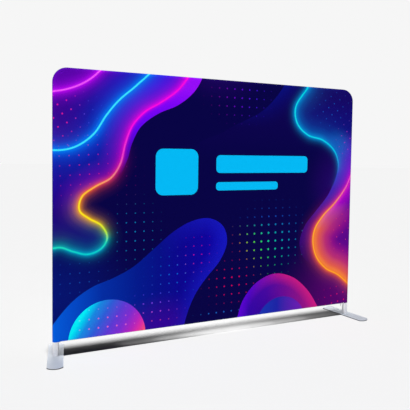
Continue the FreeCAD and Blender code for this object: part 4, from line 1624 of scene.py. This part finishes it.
@dataclass
class Foot:
    """A flat powder-coated foot with its pads, its turned spigot and its screw."""

    side: Side
    length: float = 0.500
    width: float = 0.125
    sagitta: float = 0.028
    corner: float = 0.016
    edge: float = 0.0015
    end_segments: int = 28
    pad_groove_pitch: float = 0.007
    pad_groove: float = 0.0022
    pad_groove_depth: float = 0.0009
    pad_size: tuple[float, float] = (0.105, 0.060)
    pad_corner: float = 0.008
    screw_hole: float = 0.00525
    screw_head: float = 0.01025
    screw_head_height: float = 0.005

    def __post_init__(self) -> None:
        """Read the foot's heights, its axis and its toe-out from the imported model."""
        self.name = self.side.name.lower()
        low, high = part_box(self.name + "_foot_plate")
        self.under, self.upper = low.z, high.z
        joint = next(j for j in frame["joints"] if j["name"] == self.name + "_foot_swivel")
        self.axis = Vector((joint["pos_m"][0], joint["pos_m"][1], 0.0))
        pads = {m["name"]: Vector(m["pos_m"]) for m in frame["record"]["mounts"]}
        run = pads[self.name + "_rear_pad_face"] - pads[self.name + "_front_pad_face"]
        self.turn = -math.atan2(run.x, run.y)
        self.pad_reach = run.length / 2

    def place(self, piece: bpy.types.Object) -> None:
        """Turn a piece that was made under the origin to the toe-out, and move it to its post."""
        piece.data.transform(Matrix.Translation(self.axis) @ Matrix.Rotation(self.turn, 4, "Z"))

    def complete(self, piece: bpy.types.Object, node: str, finish: Finish, sharp_deg: float) -> None:
        """Name, shade and place a piece of the foot, and hand it over.

        Args:
            piece: The piece, made under the origin.
            node: The CAD node that it stands for, without the side.
            finish: Its finish.
            sharp_deg: Angle over which its edges stay sharp.
        """
        piece.name = self.name + "_" + node + "_piece"
        outward(piece)
        smooth_by_angle(piece, sharp_deg)
        self.place(piece)
        hand_over(piece, finish, self.name + "_" + node)

    def plate(self) -> None:
        """The flat foot: bowed ends, eased corners, rounded rims and a countersunk hole."""
        deselect()
        bpy.ops.mesh.primitive_grid_add(x_subdivisions=self.end_segments, y_subdivisions=1, size=1.0,
                                        location=(0.0, 0.0, self.under))
        piece = bpy.context.object
        piece.scale = (self.width, self.length - 2 * self.sagitta, 1.0)
        settle(piece)
        half = self.width / 2
        bow = (half ** 2 + self.sagitta ** 2) / (2 * self.sagitta)
        for vertex in piece.data.vertices:
            rise = math.sqrt(bow ** 2 - vertex.co.x ** 2) - (bow - self.sagitta)
            vertex.co.y += math.copysign(rise, vertex.co.y)
        pick(piece, "FACE", lambda face: True)
        bpy.ops.mesh.dissolve_faces()
        leave_edit()
        slope = math.asin(half / bow)
        tangent = self.corner * math.tan((math.pi / 2 - slope) / 2)
        pick(piece, "VERT", lambda v: MERGE < half - abs(v.co.x) < tangent * 1.1)
        bpy.ops.mesh.dissolve_verts()
        leave_edit()
        pick(piece, "VERT", lambda v: abs(abs(v.co.x) - half) < MERGE)
        bpy.ops.mesh.bevel(affect="VERTICES", offset=tangent, segments=8)
        leave_edit()
        pick(piece, "FACE", lambda face: True)
        bpy.ops.mesh.extrude_region_move(TRANSFORM_OT_translate={"value": (0, 0, self.upper - self.under)})
        bpy.ops.mesh.select_all(action="SELECT")
        bpy.ops.mesh.normals_make_consistent(inside=False)
        leave_edit()
        pick(piece, "EDGE", lambda e: all(abs(v.co.z - self.upper) < MERGE for v in e.verts))
        bpy.ops.mesh.bevel(affect="EDGES", offset=self.edge, segments=3)
        leave_edit()
        pick(piece, "EDGE", lambda e: all(abs(v.co.z - self.under) < MERGE for v in e.verts))
        bpy.ops.mesh.bevel(affect="EDGES", offset=self.edge / 3, segments=2)
        leave_edit()
        self.bore_screw_hole(piece)
        self.complete(piece, "foot_plate", PowderCoat(), 25.0)

    def bore_screw_hole(self, piece: bpy.types.Object) -> None:
        """Cut the countersunk hole up through the plate.

        Args:
            piece: The plate.
        """
        deselect()
        head_middle = self.under + self.screw_head_height / 2
        bpy.ops.mesh.primitive_cone_add(vertices=48, radius1=self.screw_head, radius2=self.screw_hole,
                                        depth=self.screw_head_height, location=(0, 0, head_middle))
        countersink = bpy.context.object
        settle(countersink)
        pick(countersink, "FACE", lambda f: f.normal.z < -0.9)
        bpy.ops.mesh.extrude_region_move(TRANSFORM_OT_translate={"value": (0, 0, -self.edge)})
        leave_edit()
        pick(countersink, "FACE", lambda f: f.normal.z > 0.9)
        bpy.ops.mesh.extrude_region_move(TRANSFORM_OT_translate={"value": (0, 0, self.upper)})
        leave_edit()
        outward(countersink)
        apply_modifier(piece, "BOOLEAN", operation="DIFFERENCE", solver="EXACT", object=countersink)
        bpy.data.objects.remove(countersink)

    def pad(self, end: int) -> None:
        """A soft grip pad with straight grooves across its underside.

        Args:
            end: -1 for the front pad and 1 for the rear one.
        """
        deselect()
        width, length = self.pad_size
        bpy.ops.mesh.primitive_cube_add(size=1.0, location=(0.0, end * self.pad_reach, self.under / 2))
        piece = bpy.context.object
        piece.scale = (width, length, self.under)
        settle(piece)
        pick(piece, "EDGE", lambda e: abs(e.verts[0].co.z - e.verts[1].co.z) > self.under / 2)
        bpy.ops.mesh.bevel(affect="EDGES", offset=self.pad_corner, segments=6)
        leave_edit()
        pick(piece, "EDGE", lambda e: abs(e.verts[0].co.z - e.verts[1].co.z) < self.under / 2)
        bpy.ops.mesh.bevel(affect="EDGES", offset=0.0003, segments=2)
        leave_edit()
        grooves = self.groove_cutters(end)
        apply_modifier(piece, "BOOLEAN", operation="DIFFERENCE", solver="EXACT", object=grooves)
        bpy.data.objects.remove(grooves)
        name = "front_foot_pad" if end < 0 else "rear_foot_pad"
        self.complete(piece, name, GripRubber(), 30.0)

    def groove_cutters(self, end: int) -> bpy.types.Object:
        """The bars that cut a pad's grooves, in a row.

        Args:
            end: -1 for the front pad and 1 for the rear one.

        Returns:
            The bars as one mesh.
        """
        width, length = self.pad_size
        count = int(length / self.pad_groove_pitch) - 1
        first = end * self.pad_reach - (count - 1) / 2 * self.pad_groove_pitch
        deselect()
        bpy.ops.mesh.primitive_cube_add(size=1.0, location=(0.0, first, 0.0))
        bar = bpy.context.object
        bar.scale = (width + self.pad_corner, self.pad_groove, 2 * self.pad_groove_depth)
        settle(bar)
        apply_modifier(bar, "ARRAY", count=count, use_relative_offset=False, use_constant_offset=True,
                       constant_offset_displace=(0.0, self.pad_groove_pitch, 0.0))
        return bar

    def build(self) -> None:
        """Make the foot's five pieces."""
        self.plate()
        self.pad(-1)
        self.pad(1)
        SmoothCopy(self.name + "_foot_spigot", TurnedPlug(), 0.0003).build(self.name + "_foot_spigot_turned")
        SmoothCopy(self.name + "_foot_screw", ZincPlate(), 0.0002).build(self.name + "_foot_screw_plated")


# ---------------------------------------------------------------- zip

@dataclass
class Zip:
    """The zip under the bottom rail: tapes, teeth, stops, slider and pull."""

    tooth_pitch: float = 0.0016
    tooth_share: float = 0.68

    def teeth(self, facing: Facing) -> bpy.types.Object:
        """One row of nylon teeth: a rounded tooth, copied along the tape.

        Args:
            facing: The half of the cover that the row is on.

        Returns:
            The piece.
        """
        side = facing.name.lower()
        low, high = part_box(side + "_zip_coil")
        size = high - low
        tooth = self.tooth_pitch * self.tooth_share
        deselect()
        centre = (low.x + self.tooth_pitch / 2, (low.y + high.y) / 2, (low.z + high.z) / 2)
        bpy.ops.mesh.primitive_cube_add(size=1.0, location=centre)
        piece = bpy.context.object
        piece.name = side + "_zip_teeth"
        piece.scale = (tooth, size.y, size.z)
        settle(piece)
        inner_y = high.y if facing is Facing.FRONT else low.y
        pick(piece, "FACE", lambda f: abs(f.calc_center_median().y - inner_y) < MERGE)
        bpy.ops.transform.resize(value=(1.25, 1.0, 0.72), center_override=(centre[0], inner_y, centre[2]))
        leave_edit()
        pick(piece, "EDGE", lambda e: True)
        bpy.ops.mesh.bevel(affect="EDGES", offset=tooth * 0.22, segments=1)
        leave_edit()
        count = int(size.x / self.tooth_pitch)
        apply_modifier(piece, "ARRAY", count=count, use_relative_offset=False, use_constant_offset=True,
                       constant_offset_displace=(self.tooth_pitch, 0.0, 0.0))
        select_only(piece)
        bpy.ops.object.shade_flat()
        hand_over(piece, NylonTeeth(), side + "_zip_coil")
        return piece

    def build(self) -> list[bpy.types.Object]:
        """Make every piece of the zip.

        Returns:
            The tapes and the rows of teeth, front first.
        """
        made = []
        for facing in Facing:
            side = facing.name.lower()
            made.append(SmoothCopy(side + "_zip_tape", ZipTape()).build(side + "_zip_woven_tape"))
            made.append(self.teeth(facing))
        for side in Side:
            name = side.name.lower()
            made.append(SmoothCopy(name + "_zip_stop", NylonTeeth(), 0.0002).build(name + "_zip_end_stop"))
        SmoothCopy("zip_slider", SilverEnamel(), 0.00018).build("zip_slider_cast")
        SmoothCopy("zip_pull", SilverEnamel(), 0.00018).build("zip_pull_tab")
        return made


# ---------------------------------------------------------------- studio

@dataclass
class Studio:
    """Camera, plain pale floor and soft studio light."""

    eye: tuple[float, float, float] = (-2.0562, -3.7580, 1.6052)
    yaw_deg: float = 22.018
    pitch_deg: float = -2.536
    roll_deg: float = 0.577
    sensor: float = 36.0
    lens: float = 41.278
    shift: Point = (0.0955, -0.0667)
    backdrop: Colour = (246, 246, 246)
    strip_width: float = 0.125
    strip_y: float = 0.035
    strip_tilt_deg: float = 28.0

    def camera(self) -> None:
        """The camera, in front of the left post and turned a little to the right."""
        data = bpy.data.cameras.new("camera")
        data.sensor_width = self.sensor
        data.lens = self.lens
        data.shift_x, data.shift_y = self.shift
        data.clip_start, data.clip_end = 0.05, 200.0
        camera = bpy.data.objects.new("camera", data)
        yaw, pitch, roll = (math.radians(a) for a in (self.yaw_deg, self.pitch_deg, self.roll_deg))
        forward = Vector((math.sin(yaw) * math.cos(pitch), math.cos(yaw) * math.cos(pitch), math.sin(pitch)))
        level = Vector((math.cos(yaw), -math.sin(yaw), 0.0))
        upright = level.cross(forward)
        right = level * math.cos(roll) + upright * math.sin(roll)
        up = upright * math.cos(roll) - level * math.sin(roll)
        turn = Matrix((right, up, -forward)).transposed().to_4x4()
        camera.matrix_world = Matrix.Translation(self.eye) @ turn
        bpy.context.scene.collection.objects.link(camera)
        bpy.context.scene.camera = camera

    def floor(self) -> bpy.types.Object:
        """The floor, wide enough to reach the horizon.

        Returns:
            The floor.
        """
        deselect()
        bpy.ops.mesh.primitive_circle_add(vertices=96, radius=90.0, fill_type="NGON", location=(0, 0, 0))
        floor = bpy.context.object
        floor.name = "studio_floor"
        settle(floor)
        PaleFloor().dress(floor)
        return floor

    def world(self) -> None:
        """Pale surroundings that the camera and reflections see, and little light from them."""
        world = bpy.data.worlds.new("studio")
        bpy.context.scene.world = world
        world.use_nodes = True
        tree = world.node_tree
        tree.nodes.clear()
        path = tree.nodes.new("ShaderNodeLightPath")
        seen = tree.nodes.new("ShaderNodeMath")
        seen.operation = "MAXIMUM"
        tree.links.new(path.outputs["Is Camera Ray"], seen.inputs[0])
        tree.links.new(path.outputs["Is Glossy Ray"], seen.inputs[1])
        strength = tree.nodes.new("ShaderNodeMapRange")
        strength.inputs["To Min"].default_value = 0.03
        strength.inputs["To Max"].default_value = 1.0
        tree.links.new(seen.outputs[0], strength.inputs["Value"])
        light = tree.nodes.new("ShaderNodeBackground")
        light.inputs["Color"].default_value = linear(self.backdrop)
        tree.links.new(strength.outputs["Result"], light.inputs["Strength"])
        output = tree.nodes.new("ShaderNodeOutputWorld")
        tree.links.new(light.outputs[0], output.inputs["Surface"])

    @staticmethod
    def aim(light: bpy.types.Object, target: Sequence[float]) -> None:
        """Point a light at a place."""
        direction = Vector(target) - light.location
        light.rotation_euler = direction.to_track_quat("-Z", "Y").to_euler()

    def sun(self, name: str, strength: float, angle_deg: float, source: Sequence[float]) -> bpy.types.Object:
        """A distant light from a direction.

        Args:
            name: Its name.
            strength: Light on a surface that faces it.
            angle_deg: How wide it looks; wider is softer.
            source: Direction that it comes from.

        Returns:
            The light.
        """
        data = bpy.data.lights.new(name, "SUN")
        data.energy = strength
        data.angle = math.radians(angle_deg)
        light = bpy.data.objects.new(name, data)
        light.location = source
        bpy.context.scene.collection.objects.link(light)
        self.aim(light, (0, 0, 0))
        return light

    def under_light(self, middle: float, length: float, power: float) -> bpy.types.Object:
        """A low strip light, tilted back, that thins the shadow under the middle of the cover.

        Args:
            middle: Its middle along the stand.
            length: Its length along the stand.
            power: Light that each square metre of it gives.

        Returns:
            The light.
        """
        data = bpy.data.lights.new("under_light", "AREA")
        data.shape = "ELLIPSE"
        data.size, data.size_y = length, self.strip_width
        data.energy = power * math.pi / 4 * data.size * data.size_y
        light = bpy.data.objects.new("under_light", data)
        light.location = (middle, self.strip_y, 0.044 - 0.003 * length)
        light.rotation_euler = (math.radians(self.strip_tilt_deg), 0.0, 0.0)
        light.visible_camera = False
        light.visible_glossy = False
        bpy.context.scene.collection.objects.link(light)
        return light

    def lights(self, floor: bpy.types.Object) -> None:
        """Lights for the floor alone, and soft lights for the stand alone.

        Args:
            floor: The floor.
        """
        floor_only = bpy.data.collections.new("floor_only")
        floor_only.objects.link(floor)
        stand_only = bpy.data.collections.new("stand_only")
        stand_only.objects.link(floor)
        for member in stand_only.collection_objects:
            member.light_linking.link_state = "EXCLUDE"
        above = self.sun("floor_light", 11.35, 3.4, (0.0, -0.061, 1.0))
        above.light_linking.receiver_collection = floor_only
        strips = ((0.09, 0.60, 2.0), (0.13, 1.02, 4.2), (0.21, 1.67, 4.3), (0.25, 2.40, 2.7))
        for middle, length, power in strips:
            strip = self.under_light(middle, length, power)
            strip.light_linking.receiver_collection = floor_only
        for light in (
                self.sun("front_light", 2.60, 50.0, (-0.55, -1.0, 0.12)),
                self.sun("side_light", 0.20, 60.0, (-1.0, -0.1, 0.3)),
                self.sun("back_light", 2.00, 50.0, (0.35, 1.0, 0.03)),
                self.sun("top_light", 2.40, 3.4, (0.0, -0.061, 1.0))):
            light.light_linking.receiver_collection = stand_only

    def build(self) -> None:
        """Set up the whole studio."""
        self.camera()
        self.world()
        self.lights(self.floor())
        bpy.context.scene.view_settings.view_transform = "Standard"


# ---------------------------------------------------------------- the stand

def cover() -> None:
    """Both halves of the cover, their seams and the zip that closes them."""
    cut = None
    for facing, finish in ((Facing.FRONT, PrintedCloth()), (Facing.BACK, LiningCloth())):
        node = "front_cover" if facing is Facing.FRONT else "back_cover"
        low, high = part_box(node)
        cut = CoverCloth(facing, high.x, high.z, low.z, high.y - low.y)
        cut.build(finish)
    stitching = Stitching(cut)
    seam = stitching.seam()
    rows = {facing: stitching.zip_row(facing) for facing in Facing}
    zip_pieces = Zip().build()
    width, length, area = cut.flat_size()


def main() -> None:
    """Build the studio and every piece of the stand."""
    logging.basicConfig(level=logging.INFO, stream=sys.stdout, format="%(name)s: %(message)s")
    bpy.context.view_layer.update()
    Studio().build()
    FrameTubes().build()
    for side in Side:
        Foot(side).build()
    cover()


if __name__ == "__main__":
    main()
